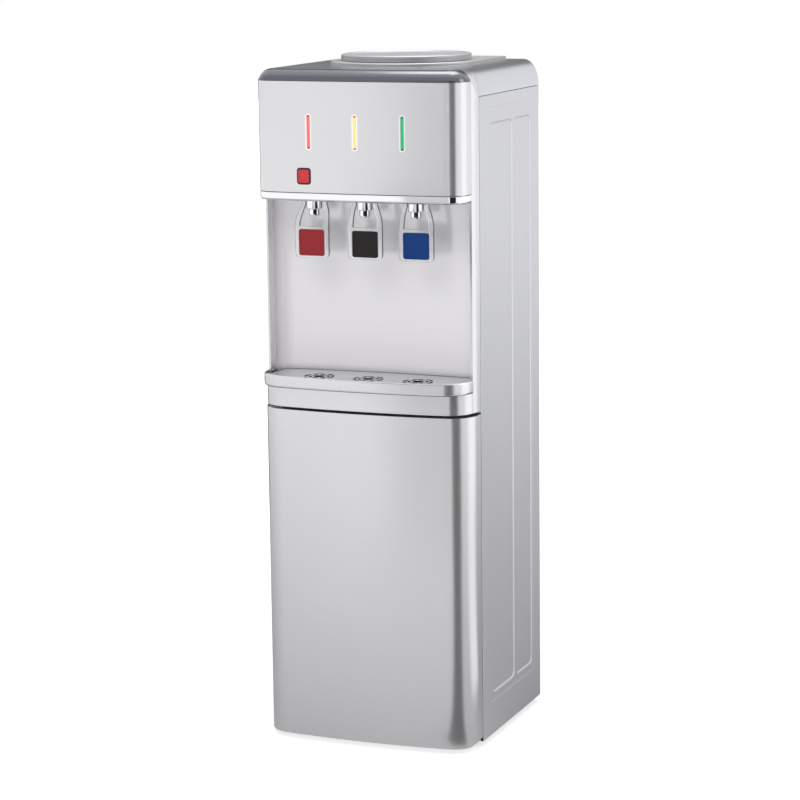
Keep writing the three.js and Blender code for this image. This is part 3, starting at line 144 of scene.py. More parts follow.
class DispenserColours(bpy.types.PropertyGroup):
    silver: colour("Silver", "Lacquer of the door, head, band and tray", (0.7, 0.7, 0.72))
    side: colour("Side", "Powder coat of the side panels", (0.66, 0.665, 0.7))
    recess: colour("Recess", "Lacquer of the recess", (0.75, 0.735, 0.755))
    cover: colour("Cover", "Lacquer of the top cover", (0.64, 0.65, 0.69))
    lid: colour("Lid", "Lacquer of the lid", (0.66, 0.66, 0.68))
    smoke: colour("Smoke", "Dark lacquer of the visor", (0.11, 0.115, 0.13))
    chrome: colour("Chrome", "Plated strip and nozzles", (0.85, 0.85, 0.87))
    clear: colour("Clear", "Clear levers", (0.95, 0.96, 0.98))
    pad_hot: colour("Hot pad", "Pad of the hot tap's lever", (0.26, 0.025, 0.03))
    pad_ambient: colour("Middle pad", "Pad of the middle tap's lever", (0.018, 0.016, 0.016))
    pad_cold: colour("Cold pad", "Pad of the cold tap's lever", (0.008, 0.04, 0.16))
    button: colour("Button", "Safety button and heating switch", (0.5, 0.012, 0.02))
    green: colour("Green", "Cooling switch", (0.02, 0.2, 0.06))
    light_hot: colour("Hot light", "Light bar of the hot water", (0.87, 0.13, 0.13))
    light_power: colour("Power light", "Light bar of the mains", (0.8, 0.62, 0.25))
    light_cold: colour("Cold light", "Light bar of the cold water", (0.015, 0.35, 0.14))
    white: colour("White", "White moulded plastic", (0.8, 0.8, 0.8))
    dark: colour("Dark", "Dark moulded plastic", (0.02, 0.02, 0.022))
    zinc: colour("Zinc", "Galvanised sheet", (0.5, 0.52, 0.54))
    steel: colour("Steel", "Stainless steel", (0.56, 0.57, 0.58))
    foam: colour("Foam", "Insulating foam", (0.86, 0.86, 0.83))
    enamel: colour("Enamel", "Black enamel", (0.012, 0.012, 0.013))
    copper: colour("Copper", "Copper pipe", (0.72, 0.32, 0.16))
    board: colour("Board", "Circuit board", (0.01, 0.11, 0.05))
    rubber: colour("Rubber", "Black rubber", (0.015, 0.015, 0.015))


def size(name):
    """A size of the panel in millimetres."""
    return getattr(bpy.context.scene.dispenser_sizes, name) / MM


def tint(name):
    return tuple(getattr(bpy.context.scene.dispenser_colours, name))


# Shader maths

def math_node(operation, swapped=False):
    """A method that adds a Math node."""
    def method(self, other=0.0):
        first, second = (other, self) if swapped else (self, other)
        return self.paint.node("ShaderNodeMath", {"operation": operation},
                               {0: first, 1: second})
    return method


class Value:
    """Output of a node. Arithmetic on it adds Math nodes."""

    def __init__(self, paint, link):
        self.paint = paint
        self.link = link

    __add__ = math_node("ADD")
    __radd__ = math_node("ADD", swapped=True)
    __sub__ = math_node("SUBTRACT")
    __rsub__ = math_node("SUBTRACT", swapped=True)
    __mul__ = math_node("MULTIPLY")
    __rmul__ = math_node("MULTIPLY", swapped=True)
    __truediv__ = math_node("DIVIDE")
    __abs__ = math_node("ABSOLUTE")
    most = math_node("MAXIMUM")
    least = math_node("MINIMUM")

    def ease(self, start, end, first=0.0, last=1.0):
        """Runs smoothly from first, at start, to last, at end."""
        return self.paint.node(
            "ShaderNodeMapRange", {"interpolation_type": "SMOOTHSTEP"},
            {"Value": self, "From Min": start, "From Max": end,
             "To Min": first, "To Max": last}, "Result")


class Paint:
    """A material and its node tree."""

    def __init__(self, name):
        self.material = bpy.data.materials.new(name)
        self.material.use_nodes = True
        self.tree = self.material.node_tree
        self.shader = self.tree.nodes["Principled BSDF"]

    def node(self, kind, settings=None, sockets=None, output=0):
        """Adds a node: its settings first, then the values or links of its sockets."""
        made = self.tree.nodes.new(kind)
        for key, value in (settings or {}).items():
            setattr(made, key, value)
        for key, value in (sockets or {}).items():
            self.feed(made.inputs[key], value)
        return Value(self, made.outputs[output])

    def feed(self, socket, value):
        if isinstance(value, Value):
            self.tree.links.new(value.link, socket)
        elif socket.type == "RGBA":
            socket.default_value = (*value, 1)
        else:
            socket.default_value = value

    def set(self, **sockets):
        for key, value in sockets.items():
            self.feed(self.shader.inputs[key.replace("_", " ")], value)
        return self

    def place(self):
        return self.node("ShaderNodeTexCoord", output="Object")

    def axis(self, name):
        """X, Y or Z of the place on the object, in metres."""
        return self.node("ShaderNodeSeparateXYZ", None, {0: self.place()}, name)

    def facing(self, name):
        """How much the surface faces along X, Y or Z, from -1 to 1."""
        normal = self.node("ShaderNodeNewGeometry", output="Normal")
        return self.node("ShaderNodeSeparateXYZ", None, {0: normal}, name)

    def stretch(self, x, y, z):
        return self.node("ShaderNodeMapping", None, {"Vector": self.place(), "Scale": (x, y, z)})

    def noise(self, scale, detail=2.0, vector=None):
        return self.node("ShaderNodeTexNoise", None, {
            "Vector": vector or self.place(), "Scale": scale, "Detail": detail}, "Fac")

    def cells(self, scale, output="Distance", vector=None):
        return self.node("ShaderNodeTexVoronoi", None, {
            "Vector": vector or self.place(), "Scale": scale}, output)

    def grains(self, scale):
        """One chance value from 0 to 1 for each cell."""
        return self.node("ShaderNodeSeparateColor", None, {0: self.cells(scale, "Color")})

    def mix(self, factor, first, second):
        """Mixes two colours."""
        return self.node("ShaderNodeMix", {"data_type": "RGBA"},
                         {0: factor, 6: first, 7: second}, 2)

    def shade(self, colour, amount, by):
        """A colour that gets lighter by the amount as by goes from 0 to 1."""
        dark = tuple(c * (1 - amount) for c in colour)
        light = tuple(min(c * (1 + amount), 1) for c in colour)
        return self.mix(by, dark, light)

    def bump(self, height, distance):
        return self.node("ShaderNodeBump", None, {"Height": height, "Distance": distance},
                         "Normal")


def lacquer(name, colour, roughness=0.26, metallic=0.85, coat=0.2, wall=1.0, brim=1.0):
    """Silver lacquer under a smooth clear coat.

    Upright faces can be darker by one factor, as painted shade, and level ones lighter by
    another, as a painted highlight."""
    paint = Paint(name)
    cloud = paint.noise(9, 3)
    smear = paint.noise(38)
    tone = paint.shade(colour, 0.02, cloud)
    # Painted shade: upright faces are darkened by the factor wall.
    if wall < 1:
        painted_wall_shade = tuple(c * wall for c in colour)
        tone = paint.mix(paint.facing("Z").ease(0.45, 0.85, 0, 1), painted_wall_shade, tone)
    # Painted highlight: level faces are lightened by the factor brim.
    if brim > 1:
        pale = tuple(c * brim for c in colour)
        tone = paint.mix(paint.facing("Z").ease(0.42, 0.72, 0, 1), tone, pale)
    return paint.set(
        Base_Color=tone,
        Metallic=metallic,
        Roughness=roughness + (smear - 0.5) * 0.016,
        Coat_Weight=coat,
        Coat_Roughness=0.1,
    )


def powder_coat(name, colour, roughness=0.36, metallic=0.6):
    """Fine powder coat; the folded front edges below the door's top are painted dark, as
    painted shade in the gap beside the door.
    """
    paint = Paint(name)
    cloud = paint.noise(7, 3)
    grain = paint.noise(900)
    dimple = paint.cells(650)
    # Painted shade: faces that look forward, below the door's top, take the dark colour.
    painted_gap_shade_off = paint.facing("Y").ease(-0.9, -0.6, 0, 1)
    above = (paint.axis("Z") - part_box("door_panel")[1][2]).ease(0, 0.002, 0, 1)
    return paint.set(
        Base_Color=paint.mix(painted_gap_shade_off.most(above), (0.02, 0.02, 0.02),
                             paint.shade(colour, 0.03, cloud * 0.6 + grain * 0.4)),
        Metallic=metallic,
        Roughness=roughness + (grain - 0.5) * 0.08,
        Normal=paint.bump(dimple + grain * 0.4, 0.000012),
    )


def plated(name, colour, roughness=0.05):
    paint = Paint(name)
    haze = paint.noise(60, 3)
    scratch = paint.noise(300, 2, paint.stretch(1, 1, 14))
    return paint.set(
        Base_Color=paint.shade(colour, 0.02, haze),
        Metallic=1.0,
        Roughness=roughness + haze * 0.03 + scratch.ease(0.6, 0.75, 0, 0.04),
        Normal=paint.bump(scratch, 0.000004),
    )


def moulded(name, colour, roughness=0.42, coat=0.0, shine=0.5):
    """Moulded plastic with a fine spark-eroded grain."""
    paint = Paint(name)
    cloud = paint.noise(30, 3)
    grain = paint.cells(1100)
    return paint.set(
        Base_Color=paint.shade(colour, 0.06, cloud * 0.7 + grain * 0.3),
        Roughness=roughness + (cloud - 0.5) * 0.1,
        Specular_IOR_Level=shine,
        Coat_Weight=coat,
        Coat_Roughness=0.1,
        Normal=paint.bump(grain, 0.00002),
    )


def clear_plastic(name, colour):
    paint = Paint(name)
    haze = paint.noise(120)
    scratch = paint.noise(420, 2, paint.stretch(1, 1, 9))
    # Painted shade: faces that turn away from the front, the levers' edges, are painted nearly
    # black.
    edge = abs(paint.facing("Y")).ease(0.25, 0.8, 0, 1)
    return paint.set(
        Base_Color=paint.mix(edge, (0.05, 0.05, 0.06), paint.shade(colour, 0.02, haze)),
        Roughness=0.02 + haze * 0.03 + scratch.ease(0.62, 0.75, 0, 0.08),
        IOR=1.49,
        Transmission_Weight=0.9,
        Normal=paint.bump(haze, 0.00001),
    )


def lit_lens(name, colour, end_colour, bottom, top, glow=0.26):
    """Lit lens of a light bar, with a darker spot at each end."""
    paint = Paint(name)
    height = paint.axis("Z")
    spot = (height - bottom).least(top - height).ease(0.0014, 0.0034, 1, 0)
    haze = paint.noise(800)
    lit = paint.mix(spot, paint.shade(colour, 0.06, haze), end_colour)
    return paint.set(
        Base_Color=lit, Roughness=0.3 + haze * 0.08, Emission_Color=lit,
        Emission_Strength=glow, Coat_Weight=0.3, Normal=paint.bump(haze, 0.00002),
    )


def galvanised(name, colour):
    paint = Paint(name)
    spangle = paint.grains(95)
    grain = paint.noise(500, 3)
    return paint.set(
        Base_Color=paint.shade(colour, 0.12, spangle * 0.7 + grain * 0.3),
        Metallic=0.9,
        Roughness=0.4 + spangle * 0.14 + grain * 0.05,
        Normal=paint.bump(spangle + grain * 0.2, 0.00002),
    )


def drawn_metal(name, colour, roughness, stretch):
    """Metal with fine lines of drawing or brushing along one way."""
    paint = Paint(name)
    lines = paint.noise(700, 3, paint.stretch(*stretch))
    cloud = paint.noise(20)
    return paint.set(
        Base_Color=paint.shade(colour, 0.07, lines * 0.5 + cloud * 0.5),
        Metallic=1.0,
        Roughness=roughness + (lines - 0.5) * 0.14,
        Normal=paint.bump(lines, 0.00002),
    )


def enamel(name, colour):
    paint = Paint(name)
    peel = paint.noise(420)
    dust = paint.noise(60, 4)
    return paint.set(
        Base_Color=paint.mix(dust.ease(0.5, 0.8, 0, 0.16), colour, (0.2, 0.2, 0.19)),
        Roughness=0.32 + dust * 0.2,
        Coat_Weight=0.2,
        Normal=paint.bump(peel, 0.00007),
    )


def rubbery(name, colour):
    paint = Paint(name)
    grain = paint.noise(900, 3)
    return paint.set(
        Base_Color=paint.shade(colour, 0.25, grain),
        Roughness=0.72 + grain * 0.12,
        Normal=paint.bump(grain, 0.00006),
    )


def beaded_foam(name, colour):
    paint = Paint(name)
    beads = paint.cells(330)
    return paint.set(
        Base_Color=paint.shade(colour, 0.08, beads.ease(0.1, 0.7)),
        Roughness=0.85,
        Normal=paint.bump(beads, -0.0006),
    )


def circuit_board(name, colour):
    paint = Paint(name)
    turned = paint.node("ShaderNodeMapping", None, {
        "Vector": paint.place(), "Rotation": (math.pi / 2, 0, 0)})
    tracks = paint.node("ShaderNodeTexBrick", {"offset": 0.3}, {
        "Vector": turned, "Scale": 160, "Mortar Size": 0.03}, "Fac")
    grain = paint.noise(700)
    return paint.set(
        Base_Color=paint.mix(tracks, colour, (0.05, 0.28, 0.12)),
        Roughness=0.35 + grain * 0.1,
        Normal=paint.bump(tracks, 0.00005),
    )


def glowing_lacquer(name, colour, bars, bottom, top, glow=0.45):
    """The head's lacquer, with a pale glow on it round each lit bar."""
    paint = lacquer(name, colour)
    x = paint.axis("X")
    z = paint.axis("Z")
    past_end = (z - top).most(bottom - z).most(0.0)
    lit = 0.0
    for place, reach, strength in bars:
        off = paint.node("ShaderNodeCombineXYZ", None, {0: abs(x - place), 2: past_end})
        away = paint.node("ShaderNodeVectorMath", {"operation": "LENGTH"}, {0: off}, "Value")
        lit = away.ease(0.0022, reach, strength, 0) + lit
    return paint.set(Emission_Color=paint.mix(lit, (0, 0, 0), (1, 0.98, 0.97)),
                     Emission_Strength=glow)


PAINTS = {}


def paint(name, make, colour_name, **settings):
    """Makes each paint once."""
    if name not in PAINTS:
        PAINTS[name] = make(name, tint(colour_name), **settings)
    return PAINTS[name]


def silver():
    return paint("silver_lacquer", lacquer, "silver")


def recess_silver():
    return paint("recess_lacquer", lacquer, "recess", roughness=0.42, metallic=0.2, coat=0.1)


def cover_silver():
    return paint("cover_lacquer", lacquer, "cover", roughness=0.26, metallic=0.9, coat=0.1)


def lid_silver():
    # The upright walls of the lid and of the platform are painted darker, as painted shade.
    return paint("lid_lacquer", lacquer, "lid", roughness=0.42, metallic=0.5, coat=0.1,
                 wall=0.55)


def grille_silver():
    # The grille's upright faces, the walls of its drain slots among them, are painted nearly black,
    # as painted shade in the slots.
    return paint("grille_lacquer", lacquer, "silver", metallic=0.6, coat=0.0, wall=0.02)


def smoked():
    # Level faces of the visor are painted lighter, as a painted highlight along its top.
    return paint("smoked_lacquer", lacquer, "smoke", roughness=0.2, metallic=0.7, coat=0.3,
                 brim=1.7)


def side_coat():
    return paint("side_coat", powder_coat, "side")


def chrome():
    return paint("chrome_plate", plated, "chrome")


def white():
    return paint("white_plastic", moulded, "white")


def dark():
    return paint("dark_plastic", moulded, "dark")


def zinc():
    return paint("galvanised", galvanised, "zinc")


def black_enamel():
    return paint("black_enamel", enamel, "enamel")


def rubber():
    return paint("black_rubber", rubbery, "rubber")


# Shaping

X, Y, Z = Vector((1, 0, 0)), Vector((0, 1, 0)), Vector((0, 0, 1))
PLANES = {"plan": (X, Y, Z), "front": (X, Z, Y), "side": (Y, Z, X)}
TAPS = ("hot", "ambient", "cold")
OVERRUN = 9


def verts_in(geometry):
    return [g for g in geometry if isinstance(g, bmesh.types.BMVert)]


def faces_in(geometry):
    return [g for g in geometry if isinstance(g, bmesh.types.BMFace)]


def freeze(form_mesh, name):
    """Turns a working mesh into the mesh of an object."""
    mesh = bpy.data.meshes.new(name)
    form_mesh.to_mesh(mesh)
    form_mesh.free()
    return mesh


def add_object(name, data):
    made = bpy.data.objects.new(name, data)
    bpy.context.scene.collection.objects.link(made)
    return made


def evaluated_mesh(piece):
    bpy.context.view_layer.update()
    graph = bpy.context.evaluated_depsgraph_get()
    return bpy.data.meshes.new_from_object(piece.evaluated_get(graph), depsgraph=graph)


def ellipse(width, height, angles):
    """Points on an ellipse at the given degrees, anticlockwise from the right."""
    return [(width * math.cos(math.radians(a)), height * math.sin(math.radians(a)))
            for a in angles]


def smooth(way):
    """Runs smoothly from 0 to 1, and stays there outside them."""
    way = min(max(way, 0), 1)
    return way * way * (3 - 2 * way)


def bend(start, control, end, steps):
    """Points of a curve from start to end that leans towards the control point."""
    points = []
    for step in range(1, steps + 1):
        t = step / steps
        points.append(tuple((1 - t) ** 2 * a + 2 * t * (1 - t) * b + t * t * c
                            for a, b, c in zip(start, control, end)))
    return points


class Pen:
    """Draws a line of edges in one plane with extrusions and spins of a point."""

    def __init__(self, form, plane, depth=0.0):
        self.form = form
        self.across, self.up, through = PLANES[plane]
        self.axis = self.across.cross(self.up)
        self.origin = through * depth
        self.drawn = set(form.mesh.edges)

    def at(self, u, v):
        return self.origin + self.across * u + self.up * v

    def start(self, u, v):
        self.first = bmesh.ops.create_vert(self.form.mesh, co=self.at(u, v))["vert"][0]
        self.tip = self.first
        return self

    def to(self, *places):
        for u, v in places:
            made = bmesh.ops.extrude_vert_indiv(self.form.mesh, verts=[self.tip])
            self.tip = made["verts"][0]
            self.tip.co = self.at(u, v)
        return self

    def turn(self, u, v, degrees, steps):
        """Goes on round the centre (u, v), anticlockwise above 0 degrees."""
        made = bmesh.ops.spin(self.form.mesh, geom=[self.tip], cent=self.at(u, v),
                              axis=self.axis, angle=math.radians(degrees), steps=steps)
        self.tip = verts_in(made["geom_last"])[0]
        return self

    def edges(self):
        return [e for e in self.form.mesh.edges if e not in self.drawn]

    def close(self, other=None):
        """Closes the line, or joins its ends to those of another line, and gives the edges."""
        mesh = self.form.mesh
        if other is None:
            bmesh.ops.contextual_create(mesh, geom=[self.tip, self.first])
        else:
            bmesh.ops.contextual_create(mesh, geom=[self.tip, other.tip])
            bmesh.ops.contextual_create(mesh, geom=[self.first, other.first])
        points = {v for e in self.edges() for v in e.verts}
        bmesh.ops.remove_doubles(mesh, verts=list(points), dist=0.0005)
        return self.edges()

    def rectangle(self, u0, u1, v0, v1, radius=0.0, steps=6):
        if radius <= 0:
            return self.start(u0, v0).to((u1, v0), (u1, v1), (u0, v1)).close()
        self.start(u0 + radius, v0).to((u1 - radius, v0)).turn(u1 - radius, v0 + radius, 90, steps)
        self.to((u1, v1 - radius)).turn(u1 - radius, v1 - radius, 90, steps)
        self.to((u0 + radius, v1)).turn(u0 + radius, v1 - radius, 90, steps)
        self.to((u0, v0 + radius)).turn(u0 + radius, v0 + radius, 90, steps)
        return self.close()

    def ring(self, u, v, radius, steps=32):
        return self.start(u + radius, v).turn(u, v, 360, steps).close()


class Form:
    """A mesh that one piece is shaped in."""

    def __init__(self):
        self.mesh = bmesh.new()

    def pen(self, plane, depth=0.0):
        return Pen(self, plane, depth)

    def fill(self, edges):
        return bmesh.ops.contextual_create(self.mesh, geom=edges)["faces"]

    def push(self, faces, offset):
        """Extrudes faces by an offset and returns the moved ones."""
        made = bmesh.ops.extrude_face_region(self.mesh, geom=faces)["geom"]
        bmesh.ops.translate(self.mesh, vec=offset, verts=verts_in(made))
        return faces_in(made)

    def prism(self, edges, offset):
        """Fills a closed line of edges and extrudes it."""
        return self.push(self.fill(edges), offset)

    def sink(self, faces, offset):
        """Extrudes faces and leaves nothing behind them."""
        moved = self.push(faces, offset)
        bmesh.ops.delete(self.mesh, geom=[f for f in faces if f.is_valid],
                         context="FACES_ONLY")
        return moved

    def pull(self, edges, offset=None, **stop):
        """Extrudes edges by an offset, or to one value of x, y or z; returns the new edges."""
        made = bmesh.ops.extrude_edge_only(self.mesh, edges=edges)["geom"]
        moved = verts_in(made)
        if offset:
            bmesh.ops.translate(self.mesh, vec=offset, verts=moved)
        for axis, value in stop.items():
            for corner in moved:
                setattr(corner.co, axis, value)
        return [g for g in made if isinstance(g, bmesh.types.BMEdge)
                and all(v in moved for v in g.verts)]

    def split(self, place, normal):
        """Adds edges where a plane across one axis meets the faces."""
        mesh = self.mesh
        bmesh.ops.bisect_plane(mesh, geom=mesh.faces[:] + mesh.edges[:] + mesh.verts[:],
                               plane_co=normal * place, plane_no=normal, dist=0.001)

    def inset(self, faces, thickness):
        bmesh.ops.inset_region(self.mesh, faces=faces, thickness=thickness,
                               use_even_offset=True)
        return faces

    def bridge(self, *loops):
        for first, second in zip(loops, loops[1:]):
            bmesh.ops.bridge_loops(self.mesh, edges=first + second)
        return self

    def rims(self):
        return [e for e in self.mesh.edges if len(e.link_faces) == 1]

    def cap(self, edges=None):
        bmesh.ops.holes_fill(self.mesh, edges=edges or self.rims(), sides=0)
        return self

    def weld(self, distance=0.0005):
        bmesh.ops.remove_doubles(self.mesh, verts=self.mesh.verts[:], dist=distance)
        return self

    def outwards(self, inside=None):
        """Turns faces outwards: away from the point inside, where the shape is open."""
        bmesh.ops.recalc_face_normals(self.mesh, faces=self.mesh.faces[:])
        if inside is not None:
            core = Vector(inside)
            facing = sum((f.calc_center_median() - core).dot(f.normal) * f.calc_area()
                         for f in self.mesh.faces)
            if facing < 0:
                self.inwards()
        return self

    def inwards(self):
        bmesh.ops.reverse_faces(self.mesh, faces=self.mesh.faces[:])
        return self

    def soften(self, width, steps=3, angle=60, where=None):
        """Rounds the edges that are sharper than the angle."""
        sharp = [e for e in self.mesh.edges if len(e.link_faces) == 2
                 and e.calc_face_angle(0) > math.radians(angle)
                 and (where is None or where((e.verts[0].co + e.verts[1].co) / 2))]
        if sharp:
            bmesh.ops.bevel(self.mesh, geom=sharp, offset=width, segments=steps, profile=0.5,
                            affect="EDGES", clamp_overlap=True, material=-1)
        return self

    def moved(self, x=0.0, y=0.0, z=0.0):
        bmesh.ops.translate(self.mesh, vec=(x, y, z), verts=self.mesh.verts[:])
        return self

    def turned(self, degrees, axis):
        bmesh.ops.rotate(self.mesh, cent=(0, 0, 0), verts=self.mesh.verts[:],
                         matrix=Matrix.Rotation(math.radians(degrees), 3, axis))
        return self

    def mirrored(self):
        """Adds the same shape on the other side of the machine's middle."""
        made = bmesh.ops.duplicate(self.mesh, geom=self.mesh.faces[:])["geom"]
        bmesh.ops.scale(self.mesh, vec=(-1, 1, 1), verts=verts_in(made))
        bmesh.ops.reverse_faces(self.mesh, faces=faces_in(made))
        return self

    def take(self, *others):
        """Takes in the shapes of other forms."""
        for other in others:
            mesh = freeze(other.mesh, "joined")
            self.mesh.from_mesh(mesh)
            bpy.data.meshes.remove(mesh)
        return self


def slab(plane, near, far, u0, u1, v0, v1, radius=0.0, edge=0.0, steps=6):
    """A plate: a rounded rectangle in one plane, from depth near to depth far."""
    form = Form()
    form.prism(form.pen(plane, near).rectangle(u0, u1, v0, v1, radius, steps),
               PLANES[plane][2] * (far - near))
    form.outwards()
    if edge:
        form.soften(edge, angle=50)
    return form


def block(x0, x1, y0, y1, z0, z1, edge=0.0):
    return slab("plan", z0, z1, x0, x1, y0, y1, edge=edge)


def lathe(profile, steps=64, closed=False, axis=None, at=(0, 0, 0)):
    """Turns a profile of (radius, height). The axis is upright, or lies along x or y."""
    form = Form()
    pen = form.pen("front").start(*profile[0]).to(*profile[1:])
    edges = pen.close() if closed else pen.edges()
    points = list({v for e in edges for v in e.verts})
    bmesh.ops.spin(form.mesh, geom=points + edges, cent=(0, 0, 0), axis=(0, 0, 1),
                   angle=2 * math.pi, steps=steps, use_merge=True)
    form.weld().outwards()
    if axis == "y":
        form.turned(-90, "X")
    if axis == "x":
        form.turned(90, "Y")
    return form.moved(*at)


def rod(radius, start, end, edge, steps, axis, at):
    """A rod with rounded rims, along its axis from start to end."""
    soft = edge * 0.3
    profile = [(0, start), (radius - edge, start), (radius - soft, start + soft),
               (radius, start + edge), (radius, end - edge), (radius - soft, end - soft),
               (radius - edge, end), (0, end)]
    return lathe(profile, steps, axis=axis, at=at)


def drill(radius, start, end, steps, at, axis=None):
    """A rod with sharp rims, to cut with."""
    return lathe([(0, start), (radius, start), (radius, end), (0, end)], steps, axis=axis, at=at)


def dished(form, border, depth):
    """Sinks the front face of a plate inside a border."""
    face = max((f for f in form.mesh.faces if f.normal.y < -0.9), key=lambda f: f.calc_area())
    form.inset([face], border)
    form.sink([face], (0, depth, 0))
    return form


def draft(form, name):
    """Makes a form into an object in the machine's frame."""
    bmesh.ops.scale(form.mesh, vec=(MM, MM, MM), verts=form.mesh.verts[:])
    form.moved(*CORNER)
    return add_object(name, freeze(form.mesh, name))


def modify(piece, kind, **settings):
    """Adds a modifier and makes it part of the piece's mesh."""
    modifier = piece.modifiers.new(kind.title(), kind)
    for key, value in settings.items():
        setattr(modifier, key, value)
    shaped = evaluated_mesh(piece)
    old = piece.data
    piece.modifiers.clear()
    piece.data = shaped
    bpy.data.meshes.remove(old)
    return piece


def thicken(piece, wall):
    return modify(piece, "SOLIDIFY", thickness=wall * MM, offset=-1, use_even_offset=True)


def carve(piece, *cutters, operation="DIFFERENCE"):
    """Cuts forms out of a piece, all in one."""
    tool = draft(Form().take(*cutters), "cutter")
    modify(piece, "BOOLEAN", operation=operation, solver="EXACT", object=tool)
    bpy.data.objects.remove(tool)
    return piece


def finish(piece, coat, slot, *nodes, body="cabinet", rim=0.0, steps=3, angle=50):
    """Rounds the rims of a piece, shades it, paints it and gives it its place in the frame."""
    if rim:
        modify(piece, "BEVEL", width=rim * MM, segments=steps, limit_method="ANGLE",
               angle_limit=math.radians(angle), profile=0.5, use_clamp_overlap=True)
    for face in piece.data.polygons:
        face.use_smooth = True
    piece.data.set_sharp_from_angle(angle=math.radians(38))
    modify(piece, "WEIGHTED_NORMAL", keep_sharp=True, weight=80)
    piece.data.materials.clear()
    piece.data.materials.append(coat.material)
    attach(piece, body)
    if nodes:
        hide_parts(*nodes)
    return piece


class Bow:
    """Plan of a bowed front: two corner arcs that run smoothly into one wide flat arc."""

    def __init__(self, width, front, corner, bulge, flipped=False):
        self.width = width
        self.front = front
        self.corner = corner
        self.straight = width - corner
        self.lean = 2 * math.atan(bulge / self.straight)
        self.sign = -1 if flipped else 1

    def wide(self, radius):
        return (self.straight + radius * math.sin(self.lean)) / math.sin(self.lean)

    def draw(self, form, height, inset=0.0, back=None, corner_steps=14, wide_steps=30):
        """Draws the outline from left to right, from y = back where that is given."""
        lean = self.lean
        sign = self.sign
        radius = self.corner - inset
        wide = self.wide(radius)
        centre = self.front + inset + wide
        side = centre - (wide - radius) * math.cos(lean)
        edge = self.width - inset
        short = 0.0
        pen = form.pen("plan", height)
        if back is None:
            pen.start(-edge, sign * side)
        elif sign * back < side:
            short = math.asin((side - sign * back) / radius)
            pen.start(-self.straight - radius * math.cos(short), back)
        else:
            pen.start(-edge, back).to((-edge, sign * side))
        turn = sign * (90 - math.degrees(lean + short))
        pen.turn(-self.straight, sign * side, turn, corner_steps)
        pen.turn(0, sign * centre, sign * 2 * math.degrees(lean), wide_steps)
        pen.turn(self.straight, sign * side, turn, corner_steps)
        if back is not None and not short:
            pen.to((edge, back))
        return pen

    def face(self, x):
        """y of the front at x."""
        wide = self.wide(self.corner)
        return self.front + wide - math.sqrt(wide * wide - x * x)


def front_bow(name):
    """Plan of the door, the band, the tray or the head."""
    half, solid = {"door": (HALF, "door_panel"), "band": (high("drip_tray").x, "tray_carrier"),
                   "tray": (high("drip_tray").x, "drip_tray"),
                   "head": (high("head_panel").x, "head_panel")}[name]
    return Bow(half, low(solid).y, size(f"{name}_corner"), size(f"{name}_bulge"))


def recess_bow():
    outer = high("recess_panel")
    wall = size("wall")
    return Bow(outer.x - wall, wall - outer.y, size("recess_corner"), size("recess_bulge"),
               flipped=True)


def recess_mouth():
    """y at which the band, the tray and the grille meet the recess."""
    return high("head_panel").y - size("gap")


def shoulder_half(z):
    """Half the width of the cover at the height z."""
    top = high("front_frame").z
    rise = min(max((z - top) / size("shoulder_height") + 1, 0), 1)
    return HALF - size("shoulder_width") + size("shoulder_width") * math.sqrt(1 - rise * rise)


def bowed_block(bow, bottom, top, inset, back, corner_steps=16, wide_steps=34):
    """A solid between a bowed front and the plane y = back."""
    form = Form()
    pen = bow.draw(form, bottom, inset, back=back, corner_steps=corner_steps,
                   wide_steps=wide_steps)
    form.prism(pen.close(), (0, 0, top - bottom))
    return form.outwards()


def swept(bow, section, back, corner_steps):
    """A section of (inset, height) carried along a bowed front."""
    form = Form()
    loops = [bow.draw(form, z, inset, back=back, corner_steps=corner_steps).edges()
             for inset, z in section]
    form.bridge(*loops, loops[0])
    return form.cap().outwards()


def done():
    return {"FINISHED"}


# Operators: one for each piece or group of like pieces

